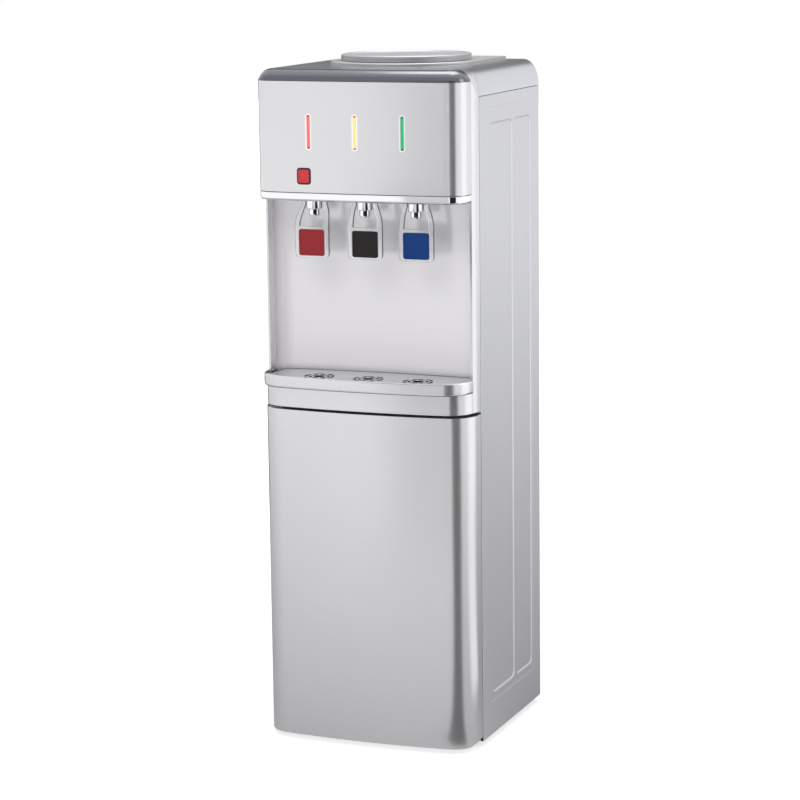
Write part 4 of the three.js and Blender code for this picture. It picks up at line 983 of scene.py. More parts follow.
class MakeSidePanels(bpy.types.Operator):
    """Pressed side panels with folded edges, a shallow field and two deeper ones in it"""
    bl_idname = "dispenser.make_side_panels"
    bl_label = "Side panels"

    # Front, back, foot, top, corner radius, depth and width of the sloping edge
    field = (30, 216, 47, 877, 9, 0.6, 4.6)
    pads = ((42, 133, 59, 855, 9, 1.2, 3.8), (141, 210, 59, 855, 9, 1.2, 3.8))
    fold = 4.2
    edge = 1.1
    cuts = 16
    cut_pitch = 0.75
    least_cut = 0.3

    def pressed(self, y, z, y0, y1, z0, z1, corner, depth, ramp):
        """Depth of one pressing at a point: its edge is a smooth ramp."""
        along = abs(y - (y0 + y1) / 2) - ((y1 - y0) / 2 - corner)
        up = abs(z - (z0 + z1) / 2) - ((z1 - z0) / 2 - corner)
        away = math.hypot(max(along, 0), max(up, 0)) + min(max(along, up), 0) - corner
        return depth * smooth(0.5 - away / ramp)

    def execute(self, context):
        top = high("side_panel_right").z
        form = Form()
        form.fill(form.pen("side", HALF).rectangle(0, DEPTH, 0, top))
        cuts_y = set()
        cuts_z = set()
        for y0, y1, z0, z1, _, _, ramp in (self.field, *self.pads):
            for step in range(self.cuts):
                inward = step * self.cut_pitch - ramp / 2
                cuts_y.update((y0 + inward, y1 - inward))
                cuts_z.update((z0 + inward, z1 - inward))
        for places, normal in ((cuts_y, Y), (cuts_z, Z)):
            last = -self.cut_pitch
            for place in sorted(places):
                if place - last < self.least_cut:
                    continue
                last = place
                form.split(place, normal)
        for point in form.mesh.verts:
            y, z = point.co.y, point.co.z
            sunk = self.pressed(y, z, *self.field)
            point.co.x -= sunk + sum(self.pressed(y, z, *pad) for pad in self.pads)
        ends = [e for e in form.rims() if abs(e.verts[0].co.y - e.verts[1].co.y) < 0.001]
        form.pull(ends, (-self.fold, 0, 0))
        form.outwards((0, DEPTH / 2, top / 2))
        form.soften(self.edge)
        right = draft(form, "panel_right")
        thicken(right, size("sheet"))
        mirror = bmesh.new()
        mirror.from_mesh(right.data)
        bmesh.ops.scale(mirror, vec=(-1, 1, 1), verts=mirror.verts[:])
        bmesh.ops.reverse_faces(mirror, faces=mirror.faces[:])
        left = add_object("panel_left", freeze(mirror, "panel_left"))
        finish(right, side_coat(), "side_paint", "side_panel_right", rim=0.2)
        finish(left, side_coat(), "side_paint", "side_panel_left", rim=0.2)
        return done()


class MakeDoor(bpy.types.Operator):
    """Bowed cupboard door: a thin shell with rounded bottom corners"""
    bl_idname = "dispenser.make_door"
    bl_label = "Door"

    corner_steps = 22
    pin_bore = 2.8
    pin_depth = 6

    def execute(self, context):
        bottom, top = levels("door_panel")
        back = high("door_panel").y
        radius = size("door_foot")
        wall = size("wall")
        bow = front_bow("door")
        form = bowed_block(bow, bottom, top, 0, back, self.corner_steps)
        for angle in range(0, 90, 13):
            place = HALF - radius + radius * math.sin(math.radians(angle))
            form.split(-place, X)
            form.split(place, X)
        for point in form.mesh.verts:
            over = abs(point.co.x) - (HALF - radius)
            if point.co.z < top - radius and over > 0:
                point.co.z = bottom + radius - math.sqrt(max(radius ** 2 - over ** 2, 0))
        form.soften(size("edge"), angle=50, where=lambda c: c.y < back - 0.5)
        piece = draft(form, "door_skin")
        hinge = joint_place("door_hinge")
        pins = [drill(self.pin_bore, z - self.pin_depth, z + self.pin_depth, 24,
                      (hinge.x, hinge.y, 0)) for z in (bottom, top)]
        carve(piece, bowed_block(bow, bottom + wall, top - wall, wall, back + OVERRUN,
                                 self.corner_steps))
        carve(piece, *pins)
        finish(piece, silver(), "silver_front", "door_panel", body="door", rim=0.3, steps=2)
        return done()


class MakeBand(bpy.types.Operator):
    """Band under the drip tray, with the deck that carries the tray"""
    bl_idname = "dispenser.make_band"
    bl_label = "Band"

    wall = 2.2
    deck = 2.4
    deck_gap = 0.6

    def execute(self, context):
        bottom, top = levels("tray_carrier")
        end = recess_mouth()
        wall = self.wall
        form = bowed_block(front_bow("band"), bottom, top, 0, end)
        form.soften(size("edge"), angle=50, where=lambda c: c.y < end - 0.5)
        piece = draft(form, "band_skin")
        carve(piece, bowed_block(front_bow("band"), bottom + wall, top - wall, wall, end + OVERRUN))
        finish(piece, silver(), "silver_front", "tray_carrier", rim=0.3, steps=2)
        deck = Form()
        pen = recess_bow().draw(deck, top - self.deck, inset=self.deck_gap, back=end + 0.1)
        deck.prism(pen.close(), (0, 0, self.deck))
        deck.outwards().soften(0.4, steps=2, angle=50)
        finish(draft(deck, "band_deck"), silver(), "silver_front")
        return done()


class MakeTray(bpy.types.Operator):
    """Drip tray: a basin with a soft bowed lip"""
    bl_idname = "dispenser.make_tray"
    bl_label = "Drip tray"

    wall = 2.4
    ledge = 2.2
    floor = 2
    round_off = 3.0
    over_share = 0.6
    round_under = 3.6
    under_share = 0.55

    def execute(self, context):
        bottom, top = levels("drip_tray")
        end = recess_mouth()
        rest = high("drip_grille").z
        under = low("drip_grille").z - size("gap")
        bow = front_bow("tray")
        under_width = self.round_under * self.under_share
        over_width = self.round_off * self.over_share
        section = [(self.wall, bottom + 0.2), (self.wall - 0.3, bottom)]
        section += [(under_width - u, bottom + self.round_under - v)
                    for v, u in ellipse(self.round_under, under_width, range(0, 91, 15))]
        section += [(over_width - u, top - self.round_off + v)
                    for u, v in ellipse(over_width, self.round_off, range(0, 91, 18))]
        section.append((self.wall, top - 0.5))
        lip = swept(bow, section, end, 16)
        basin = Form()
        front = bow.draw(basin, bottom + 0.4, 0.6, back=end)
        back = recess_bow().draw(basin, bottom + 0.4, 1.3, back=end)
        face = basin.prism(front.close(back), (0, 0, rest - bottom - 0.4))
        basin.inset(face, self.wall - 0.6)
        face = basin.sink(face, (0, 0, under - rest))
        basin.inset(face, self.ledge)
        basin.sink(face, (0, 0, bottom + self.floor - under))
        basin.weld().outwards()
        finish(draft(lip, "tray_lip"), silver(), "silver_front", "drip_tray", body="tray")
        # The basin is painted dark, as painted shade under the grille.
        finish(draft(basin, "tray_basin"), dark(), "dark_plastic", body="tray")
        return done()


class MakeGrille(bpy.types.Operator):
    """Grille in the tray with three round drain patterns"""
    bl_idname = "dispenser.make_grille"
    bl_label = "Grille"

    rings = (12.5, 19.5)
    centre_radius = 7.5
    slots = 6
    slot_share = 0.74
    slot_corner = 0.7
    centre = (2.3, -32)
    front_inset = 2.8
    back_inset = 4
    side_inset = 2.7
    over = 3

    def slot(self, x, radius, start, degrees, bottom, top):
        """A curved slot of one ring, to cut with."""
        form = Form()
        half = size("drain_slot") / 2
        y = self.centre[1]
        outer, = ellipse(radius + half, radius + half, [start])
        inner, = ellipse(radius - half, radius - half, [start + degrees])
        pen = form.pen("plan", bottom).start(x + outer[0], y + outer[1])
        pen.turn(x, y, degrees, 8).to((x + inner[0], y + inner[1])).turn(x, y, -degrees, 8)
        form.prism(pen.close(), (0, 0, top - bottom))
        return form.outwards().soften(self.slot_corner, steps=2,
                                      where=lambda c: bottom + 1 < c.z < top - 1)

    def execute(self, context):
        bottom, top = levels("drip_grille")
        end = recess_mouth()
        form = Form()
        front = front_bow("tray").draw(form, bottom, self.front_inset, back=end - self.side_inset)
        back = recess_bow().draw(form, bottom, self.back_inset, back=end - self.side_inset)
        form.prism(front.close(back), (0, 0, top - bottom))
        piece = draft(form.outwards(), "grille_plate")
        cutters = []
        sector = 360 / self.slots
        bottom -= self.over
        top += self.over
        for step in (-1, 0, 1):
            x = self.centre[0] + step * size("drain_pitch")
            cutters.append(drill(self.centre_radius, bottom, top, 32, (x, self.centre[1], 0)))
            for ring, radius in enumerate(self.rings):
                for i in range(self.slots):
                    cutters.append(self.slot(x, radius, sector * (i + ring / 2),
                                             sector * self.slot_share, bottom, top))
        carve(piece, *cutters)
        finish(piece, grille_silver(), "silver_front", "drip_grille", body="grille",
               rim=0.3, steps=2, angle=60)
        return done()


class MakeRecess(bpy.types.Operator):
    """Dished recess behind the taps, with its ceiling"""
    bl_idname = "dispenser.make_recess"
    bl_label = "Recess"

    def execute(self, context):
        bottom, top = levels("recess_panel")
        front = low("recess_panel").y
        wall = size("wall")
        bow = recess_bow()
        form = Form()
        line = bow.draw(form, bottom, back=high("front_frame").y + size("gap"),
                        corner_steps=18, wide_steps=36).edges()
        form.pull(line, z=top)
        form.outwards((0, 0, (bottom + top) / 2)).inwards()
        piece = draft(form, "recess_wall")
        thicken(piece, wall)
        finish(piece, recess_silver(), "recess_silver", "recess_panel", rim=0.5)
        ceiling = Form()
        pen = bow.draw(ceiling, top - wall, 0.1, back=front)
        ceiling.prism(pen.close(), (0, 0, wall))
        ceiling.outwards().soften(0.5, steps=2)
        finish(draft(ceiling, "recess_ceiling"), recess_silver(), "recess_silver")
        return done()


class MakeFrontFrame(bpy.types.Operator):
    """Columns and shoulders beside the head, the bulkhead and the soffit over the recess"""
    bl_idname = "dispenser.make_front_frame"
    bl_label = "Front frame"

    inner = 148
    front = -22.2
    wall = 2.4
    crown = 2.6
    crown_width = 0.15
    angles = (8, 16, 24, 32, 40, 47, 54, 60, 66, 71, 76, 80, 84, 88)
    plate_front = -8
    plate_back = -5.5
    plate_top = 926
    stem_radius = 8.3
    stem_height = 33
    slot_half = 19.1
    slot_front = -45.5
    slot_back = -13.1
    soffit_inset = 3.7
    soffit_wall = 2.5

    def execute(self, context):
        bottom, top = levels("front_frame")
        back = high("front_frame").y
        turn = top - size("shoulder_height")
        brim = HALF - size("shoulder_width")
        curve = bend((HALF, back), (HALF, (back + self.front) / 2),
                     (high("head_panel").x, self.front), 10)
        heights = [bottom, turn] + [turn + rise for _, rise in ellipse(
            0, size("shoulder_height"), self.angles)]
        form = Form()
        loops = []
        for z in heights:
            limit = shoulder_half(z)
            inner = min(self.inner, limit - self.wall)
            if z > top - self.crown:
                inner = max(inner, brim + self.crown_width)
            pen = form.pen("plan", z).start(inner, back).to((min(HALF, limit), back))
            # The small step keeps points apart where the limit cuts them off
            pen.to(*[(min(x, limit - 0.0004 * i), y) for i, (x, y) in enumerate(curve)])
            pen.to((inner, self.front))
            bmesh.ops.contextual_create(form.mesh, geom=[pen.tip, pen.first])
            loops.append(pen.edges())
        form.bridge(*loops)
        form.cap().outwards().mirrored()
        piece = draft(form, "front_columns")
        finish(piece, silver(), "silver_front", "front_frame", rim=0.3, steps=2, angle=60)
        self.bulkhead()
        return done()

    def bulkhead(self):
        """The plate behind the head and the soffit, with the openings for the taps."""
        soffit = high("recess_panel").z
        half = self.inner - 0.2
        plate = block(-half, half, self.plate_front, self.plate_back, soffit, self.plate_top)
        piece = draft(plate, "tap_bulkhead")
        stems = []
        slots = []
        for tap in TAPS:
            x = middle(f"tap_nozzle_{tap}").x
            stems.append(drill(self.stem_radius, self.plate_front - 4, self.plate_back + 3.5, 24,
                               (x, 0, soffit + self.stem_height), "y"))
            slots.append(block(x - self.slot_half, x + self.slot_half, self.slot_front,
                               self.slot_back, soffit - 4, soffit + 8))
        carve(piece, *stems)
        finish(piece, silver(), "silver_front", rim=0.3, steps=2)
        floor = Form()
        pen = front_bow("head").draw(floor, soffit, self.soffit_inset, back=self.plate_front - 0.1)
        floor.prism(pen.close(), (0, 0, self.soffit_wall))
        piece = draft(floor.outwards(), "tap_soffit")
        carve(piece, *slots)
        finish(piece, silver(), "silver_front", rim=0.3, steps=2)


class MakeHead(bpy.types.Operator):
    """Bowed head panel with the openings for the light bars and the safety button"""
    bl_idname = "dispenser.make_head"
    bl_label = "Head panel"

    # How far the glow of each bar reaches, in metres, and how strong it is
    glows = {"hot": (0.0052, 1.0), "power": (0.0052, 1.0), "cold": (0.005, 0.9)}
    button_rim = 1.5
    button_corner = 2
    cut_front = -70
    cut_back = -55

    def opening(self, a, b, wider, radius, steps=6):
        return slab("front", self.cut_front, self.cut_back, a.x - wider, b.x + wider,
                    a.z - wider, b.z + wider, radius, steps=steps)

    def execute(self, context):
        bottom, top = levels("head_panel")
        end = high("head_panel").y
        form = Form()
        line = front_bow("head").draw(form, bottom, back=end, corner_steps=16, wide_steps=40).edges()
        form.pull(line, z=top)
        form.outwards((0, end, (bottom + top) / 2))
        piece = draft(form, "head_skin")
        thicken(piece, size("wall"))
        gap = size("gap")
        bars = []
        cutters = []
        for use, (reach, strength) in self.glows.items():
            a, b = corners(f"light_bar_{use}")
            half = (b.x - a.x) / 2 + gap
            cutters.append(self.opening(a, b, gap, half - 0.01, steps=8))
            bars.append((middle(f"light_bar_{use}").x * MM, reach, strength))
        rim = self.button_rim + 2 * gap
        cutters.append(self.opening(*corners("lock_button"), rim, self.button_corner + rim))
        carve(piece, *cutters)
        bar_low, bar_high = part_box("light_bar_hot")
        inner = (bar_high[0] - bar_low[0]) / 2
        lit = glowing_lacquer("head_lacquer", tint("silver"), bars, bar_low[2] + inner,
                              bar_high[2] - inner)
        finish(piece, lit, "silver_front", "head_panel", rim=0.35)
        return done()


class MakeStrip(bpy.types.Operator):
    """Bright strip round the foot of the head"""
    bl_idname = "dispenser.make_strip"
    bl_label = "Bright strip"

    wall = 3.4

    def execute(self, context):
        bottom = low("chrome_strip").z
        top = high("chrome_strip").z - size("seam")
        end = high("chrome_strip").y
        wall = self.wall
        section = [(wall, bottom + 0.4), (wall - 0.8, bottom), (wall - 1.2, bottom + 0.1),
                   (0.5, bottom + 1.9), (0.1, bottom + 2.5), (0, bottom + 3.1), (0, top - 0.6),
                   (0.2, top - 0.2), (0.6, top), (wall - 0.4, top), (wall, top - 0.4)]
        strip = swept(front_bow("head"), section, end, 18)
        finish(draft(strip, "bright_strip"), chrome(), "chrome", "chrome_strip")
        return done()


class MakeVisor(bpy.types.Operator):
    """Dark curved cap over the head panel"""
    bl_idname = "dispenser.make_visor"
    bl_label = "Visor"

    def execute(self, context):
        bottom, top = levels("visor")
        end = high("visor").y
        setback = size("visor_setback")
        form = Form()
        loops = []
        for out, rise in ellipse(setback, top - bottom, [7.5 * i for i in range(13)]):
            z = bottom + rise
            lean = setback - out
            bow = Bow(min(shoulder_half(z), high("visor").x), low("visor").y + lean,
                      size("head_corner") - lean, size("head_bulge"))
            loops.append(bow.draw(form, z, back=end, wide_steps=24).edges())
        form.bridge(*loops).weld(0.0001)
        form.outwards((0, end, bottom - 20))
        piece = draft(form, "visor_cap")
        thicken(piece, size("wall") - 0.1)
        finish(piece, smoked(), "smoked_silver", "visor", rim=0.25)
        return done()


class MakeTopCover(bpy.types.Operator):
    """Top cover with round shoulders, and the platform round the bottle well"""
    bl_idname = "dispenser.make_top_cover"
    bl_label = "Top cover"

    back_edge = 1.6
    hole_gap = 1.2
    sunk = 1
    well_depth = 3.5

    def execute(self, context):
        bottom = low("top_cover").z + size("seam")
        top = high("front_frame").z
        front = high("front_frame").y + size("gap") + size("seam")
        back = high("top_cover").y
        wide = size("shoulder_width")
        tall = size("shoulder_height")
        brim = HALF - wide
        well_y = middle("lid").y
        form = Form()
        arch = [(brim + u, top - tall + v)
                for u, v in ellipse(wide, tall, [90 * i / 14 for i in range(15)])]
        pen = form.pen("front", front).start(HALF, bottom).to(*arch)
        pen.to(*[(-x, z) for x, z in reversed(arch)]).to((-HALF, bottom))
        line = pen.edges()
        rear = form.pull(line, y=back)
        ends = [v for e in rear for v in e.verts
                if sum(v in other.verts for other in rear) == 1]
        form.fill(rear + bmesh.ops.contextual_create(form.mesh, geom=ends)["edges"])
        bow = Bow(brim, low("visor").y + size("visor_setback"),
                  size("head_corner") - size("visor_setback"), size("head_bulge"))
        bow.draw(form, top, back=front)
        form.weld()
        form.fill([e for e in form.mesh.edges if not e.link_faces
                   or all(abs(v.co.z - top) < 0.01 and abs(v.co.y - front) < 0.01
                          and abs(abs(v.co.x) - brim) < 0.01 for v in e.verts)])
        form.weld().outwards((0, well_y, top - 60))
        form.soften(self.back_edge, steps=4,
                    where=lambda c: c.y > back - 1 and c.z > bottom + 1)
        piece = draft(form, "cover_shell")
        thicken(piece, size("wall"))
        carve(piece, drill(size("well_radius") + self.hole_gap, top - OVERRUN, top + OVERRUN, 96,
                           (0, well_y, 0)))
        finish(piece, cover_silver(), "cover_silver", "top_cover", rim=0.4)
        self.platform(top, back, well_y)
        return done()

    def platform(self, top, back, well_y):
        """Raised ring round the well that runs straight to the back."""
        radius = size("platform_half")
        height = high("top_cover").z
        edge = size("platform_edge")
        form = Form()
        loops = []
        for inset, z in ((0, top - self.sunk), (0, height - edge),
                         (edge * 0.13, height - edge * 0.5),
                         (edge * 0.5, height - edge * 0.13), (edge, height)):
            pen = form.pen("plan", z).start(inset - radius, back - inset)
            pen.to((inset - radius, well_y)).turn(0, well_y, 180, 64)
            pen.to((radius - inset, back - inset))
            loops.append(pen.close())
        form.bridge(*loops)
        hole = size("well_radius")
        well = [form.pen("plan", z).ring(0, well_y, r, 96) for r, z in (
            (hole + 0.8, height), (hole + 0.2, height - 0.3), (hole, height - 0.8),
            (hole, top - self.well_depth))]
        form.bridge(*well)
        form.bridge(loops[-1], well[0])
        form.bridge(well[-1], loops[0])
        form.weld().outwards((0, well_y, top - 200))
        piece = draft(form, "cover_platform")
        finish(piece, lid_silver(), "cover_silver")


class MakeLid(bpy.types.Operator):
    """Round dished lid over the bottle well"""
    bl_idname = "dispenser.make_lid"
    bl_label = "Lid"

    wall = 2.4
    dish_depth = 1.6
    ridge = 60

    def execute(self, context):
        bottom, top = levels("lid")
        radius = high("lid").x
        well_y = middle("lid").y
        wall = self.wall
        shoulder = top - wall - 0.2
        dish = top - self.dish_depth
        profile = [(0, dish - wall), (radius - wall - 1, dish - wall),
                   (radius - wall, dish - wall - 0.8), (radius - wall, bottom + 0.3),
                   (radius - wall + 0.3, bottom), (radius - 0.4, bottom),
                   (radius, bottom + 0.4), (radius, shoulder)]
        profile += [(radius - wall + u, shoulder + v)
                    for u, v in ellipse(wall, wall, range(15, 91, 15))]
        profile += [(radius - 4.6, top), (radius - 6.4, top - 0.1), (radius - 7.4, top - 0.5),
                    (radius - 8.2, dish + 0.4), (radius - 9.2, dish + 0.08),
                    (radius - 10.6, dish)]
        profile += [(self.ridge + out, dish + rise) for out, rise in (
            (1.2, 0), (0.7, 0.25), (0.2, 0.5), (-0.2, 0.5), (-0.7, 0.25), (-1.2, 0))]
        profile.append((0, dish - 0.3))
        form = lathe(profile, 160, at=(0, well_y, 0))
        finish(draft(form, "lid_cap"), lid_silver(), "smoked_silver", "lid", body="well_lid")
        return done()


class MakeBottleSeat(bpy.types.Operator):
    """Funnel in the bottle well and the feed probe that opens the bottle's cap"""
    bl_idname = "dispenser.make_bottle_seat"
    bl_label = "Bottle seat"

    neck = 14
    neck_top = 896.6
    bowl = 78
    bowl_foot = 905
    wall = 2
    flange_foot = 935.3
    ribs = 6
    rib_start = 30
    rib_half = 0.8
    probe_bore = 6.4
    probe_radius = 9
    collar_foot = 900.3
    collar = 2.6
    slots = 4
    slot_half = 2.5

    def execute(self, context):
        bottom, top = levels("bottle_seat")
        flange = high("bottle_seat").x
        well_y = middle("lid").y
        neck, lip, bowl, foot, under = (self.neck, self.neck_top, self.bowl, self.bowl_foot,
                                        self.flange_foot)
        tube = neck + self.wall
        shell = bowl + self.wall
        profile = [(neck, bottom), (tube - 0.3, bottom), (tube, bottom + 0.3),
                   (tube, lip - 1.4), (tube + 1.4, lip + 0.4), (shell - 1.4, foot - 1.4),
                   (shell, foot), (shell, under - 0.7), (shell + 1, under),
                   (flange - 0.4, under), (flange, under + 0.4), (flange, top - 0.6),
                   (flange - 0.6, top), (shell + 0.2, top), (bowl + 0.7, top - 0.5),
                   (bowl, top - 1.8), (bowl, foot + 3.6), (bowl - 1.4, foot + 1.6),
                   (bowl - 4, foot + 0.9), (neck + 1.8, lip + 2.8), (neck + 0.3, lip + 1.6),
                   (neck, lip)]
        form = lathe(profile, 96, closed=True, at=(0, well_y, 0))
        for i in range(self.ribs):
            rib = block(self.rib_start, bowl - self.wall, -self.rib_half, self.rib_half,
                        foot - 5, foot + 3.6, edge=0.5)
            form.take(rib.turned(360 * (i + 0.5) / self.ribs, "Z").moved(0, well_y, 0))
        finish(draft(form, "seat_funnel"), white(), "white_plastic", "bottle_seat")
        self.probe(well_y)
        return done()

    def probe(self, well_y):
        bottom, top = levels("feed_probe")
        wide = high("feed_probe").x
        bore, radius, under = self.probe_bore, self.probe_radius, self.collar_foot
        over = under + self.collar
        profile = [(bore, bottom), (radius, bottom), (radius, under - 0.7),
                   (radius + 0.6, under), (wide - 0.5, under), (wide, under + 0.5),
                   (wide, over - 0.5), (wide - 0.5, over), (radius + 0.6, over),
                   (radius, over + 0.7), (radius, top - 7), (radius - 0.2, top - 5),
                   (radius - 1, top - 2.6), (bore, top - 0.9), (4.2, top - 0.2), (0, top),
                   (0, top - 3), (4, top - 4), (bore, top - 8)]
        piece = draft(lathe(profile, 48, closed=True, at=(0, well_y, 0)), "probe_tip")
        half = self.slot_half
        carve(piece, *[block(4, 30, -half, half, top - 24, top - 10, edge=1.2)
                       .turned(360 * i / self.slots, "Z").moved(0, well_y, 0)
                       for i in range(self.slots)])
        finish(piece, white(), "white_plastic", "feed_probe", rim=0.25, steps=2)


class MakeLightBars(bpy.types.Operator):
    """Three light bars in the head"""
    bl_idname = "dispenser.make_light_bars"
    bl_label = "Light bars"

    # Material slot of each bar, and the colour of its two ends
    bars = {"hot": ("light_red", (0.45, 0.01, 0.02)),
            "power": ("light_amber", (0.5, 0.16, 0.02)),
            "cold": ("light_green", (0.004, 0.13, 0.05))}
    sunk = 0.1
    round_off = 0.9

    def execute(self, context):
        for use, (slot, end_colour) in self.bars.items():
            a, b = corners(f"light_bar_{use}")
            face = front_bow("head").face(middle(f"light_bar_{use}").x) + self.sunk
            form = slab("front", face, b.y, a.x, b.x, a.z, b.z, (b.x - a.x) / 2 - 0.01, steps=8)
            form.soften(self.round_off, steps=4, where=lambda c: c.y < face + 0.1)
            lens = paint(f"lit_{use}", lit_lens, f"light_{use}", end_colour=end_colour,
                         bottom=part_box(f"light_bar_{use}")[0][2],
                         top=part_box(f"light_bar_{use}")[1][2])
            finish(draft(form, f"lens_{use}"), lens, slot, f"light_bar_{use}")
        return done()


class MakeButton(bpy.types.Operator):
    """Red safety button in its dark rim"""
    bl_idname = "dispenser.make_button"
    bl_label = "Safety button"

    corner = 2.2
    edge = 0.7
    border = 1.5
    dish = 0.35
    sleeve_corner = 2
    sleeve = 1.5
    collar = 3.9

    def execute(self, context):
        a, b = corners("lock_button")
        cap = slab("front", a.y, b.y, a.x, b.x, a.z, b.z, self.corner, steps=5)
        cap.soften(self.edge, where=lambda c: c.y < a.y + 0.1)
        dished(cap, self.border, self.dish).weld()
        coat = paint("button_red", moulded, "button", roughness=0.3, coat=0.4)
        finish(draft(cap, "button_cap"), coat, "button_red", "lock_button", body="safety_button")
        self.housing(a, b)
        return done()

    def housing(self, a, b):
        """Two dark sleeves, one behind the other, open to the front."""
        c, d = corners("button_housing")
        gap = size("gap")
        reach = a.x - c.x
        form = Form()
        rim = gap + self.sleeve
        step = c.y + self.collar
        section = [(gap, b.y + 2.4), (gap, c.y + 0.3), (gap + 0.3, c.y), (rim - 0.2, c.y),
                   (rim, c.y + 0.3), (rim, step), (reach, step), (reach, d.y)]
        loops = [form.pen("front", y).rectangle(
            a.x - off, b.x + off, a.z - off, b.z + off, self.sleeve_corner + off, 5)
            for off, y in section]
        form.bridge(*loops)
        form.cap(loops[0]).cap(loops[-1])
        form.outwards()
        finish(draft(form, "button_sleeve"), dark(), "dark_plastic", "button_housing")


class MakeTaps(bpy.types.Operator):
    """Valves and plated nozzles of the three taps"""
    bl_idname = "dispenser.make_taps"
    bl_label = "Taps"

    bore = 4.2
    spout = 7.8
    skirt = 15.8
    body = 12.2
    waist = 11
    pin = 2
    pin_half = 18.6
    stem = 8
    stem_height = 33
    flange = 13
    washer = (-13.3, -8.3)
    nut = (-5.2, -0.2)

    def execute(self, context):
        for tap in TAPS:
            a, b = corners(f"tap_nozzle_{tap}")
            x, y, _ = middle(f"tap_nozzle_{tap}")
            wide = (b.x - a.x) / 2
            spout = self.spout
            step = b.z - self.skirt
            profile = [(self.bore, a.z), (spout - 1.8, a.z), (spout - 1.1, a.z + 0.15),
                       (spout - 0.5, a.z + 0.6), (spout - 0.1, a.z + 1.4), (spout, a.z + 2.4),
                       (spout, step - 0.5), (spout + 0.3, step - 0.1), (9.9, step),
                       (10.5, step + 0.2), (11.0, step + 0.7), (wide, step + 1.5),
                       (wide, b.z - 0.4), (wide - 0.4, b.z), (self.bore, b.z)]
            form = lathe(profile, 72, closed=True, at=(x, y, 0))
            finish(draft(form, f"nozzle_{tap}"), chrome(), "chrome", f"tap_nozzle_{tap}")
            self.valve(tap, x, y)
        return done()

    def valve(self, tap, x, y):
        a, b = corners(f"tap_valve_{tap}")
        body, waist = self.body, self.waist
        profile = [(0, a.z), (body - 0.6, a.z), (body, a.z + 0.6), (body, a.z + 20),
                   (waist, a.z + 21), (waist, a.z + 42), (body, a.z + 43), (body, b.z - 2),
                   (body - 1.8, b.z), (0, b.z)]
        form = lathe(profile, 40, at=(x, y, 0))
        pivot = joint_place(f"{tap}_lever_push")
        stem = (x, 0, a.z + self.stem_height)
        form.take(rod(self.pin, -self.pin_half, self.pin_half, edge=0.4, steps=16, axis="x",
                      at=(x, y, pivot.z)),
                  rod(self.stem, y, b.y, edge=0.6, steps=32, axis="y", at=stem),
                  rod(self.flange, *self.washer, edge=0.8, steps=40, axis="y", at=stem),
                  rod(self.flange, *self.nut, edge=0.8, steps=6, axis="y", at=stem))
        finish(draft(form, f"valve_{tap}_body"), white(), "white_plastic", f"tap_valve_{tap}")


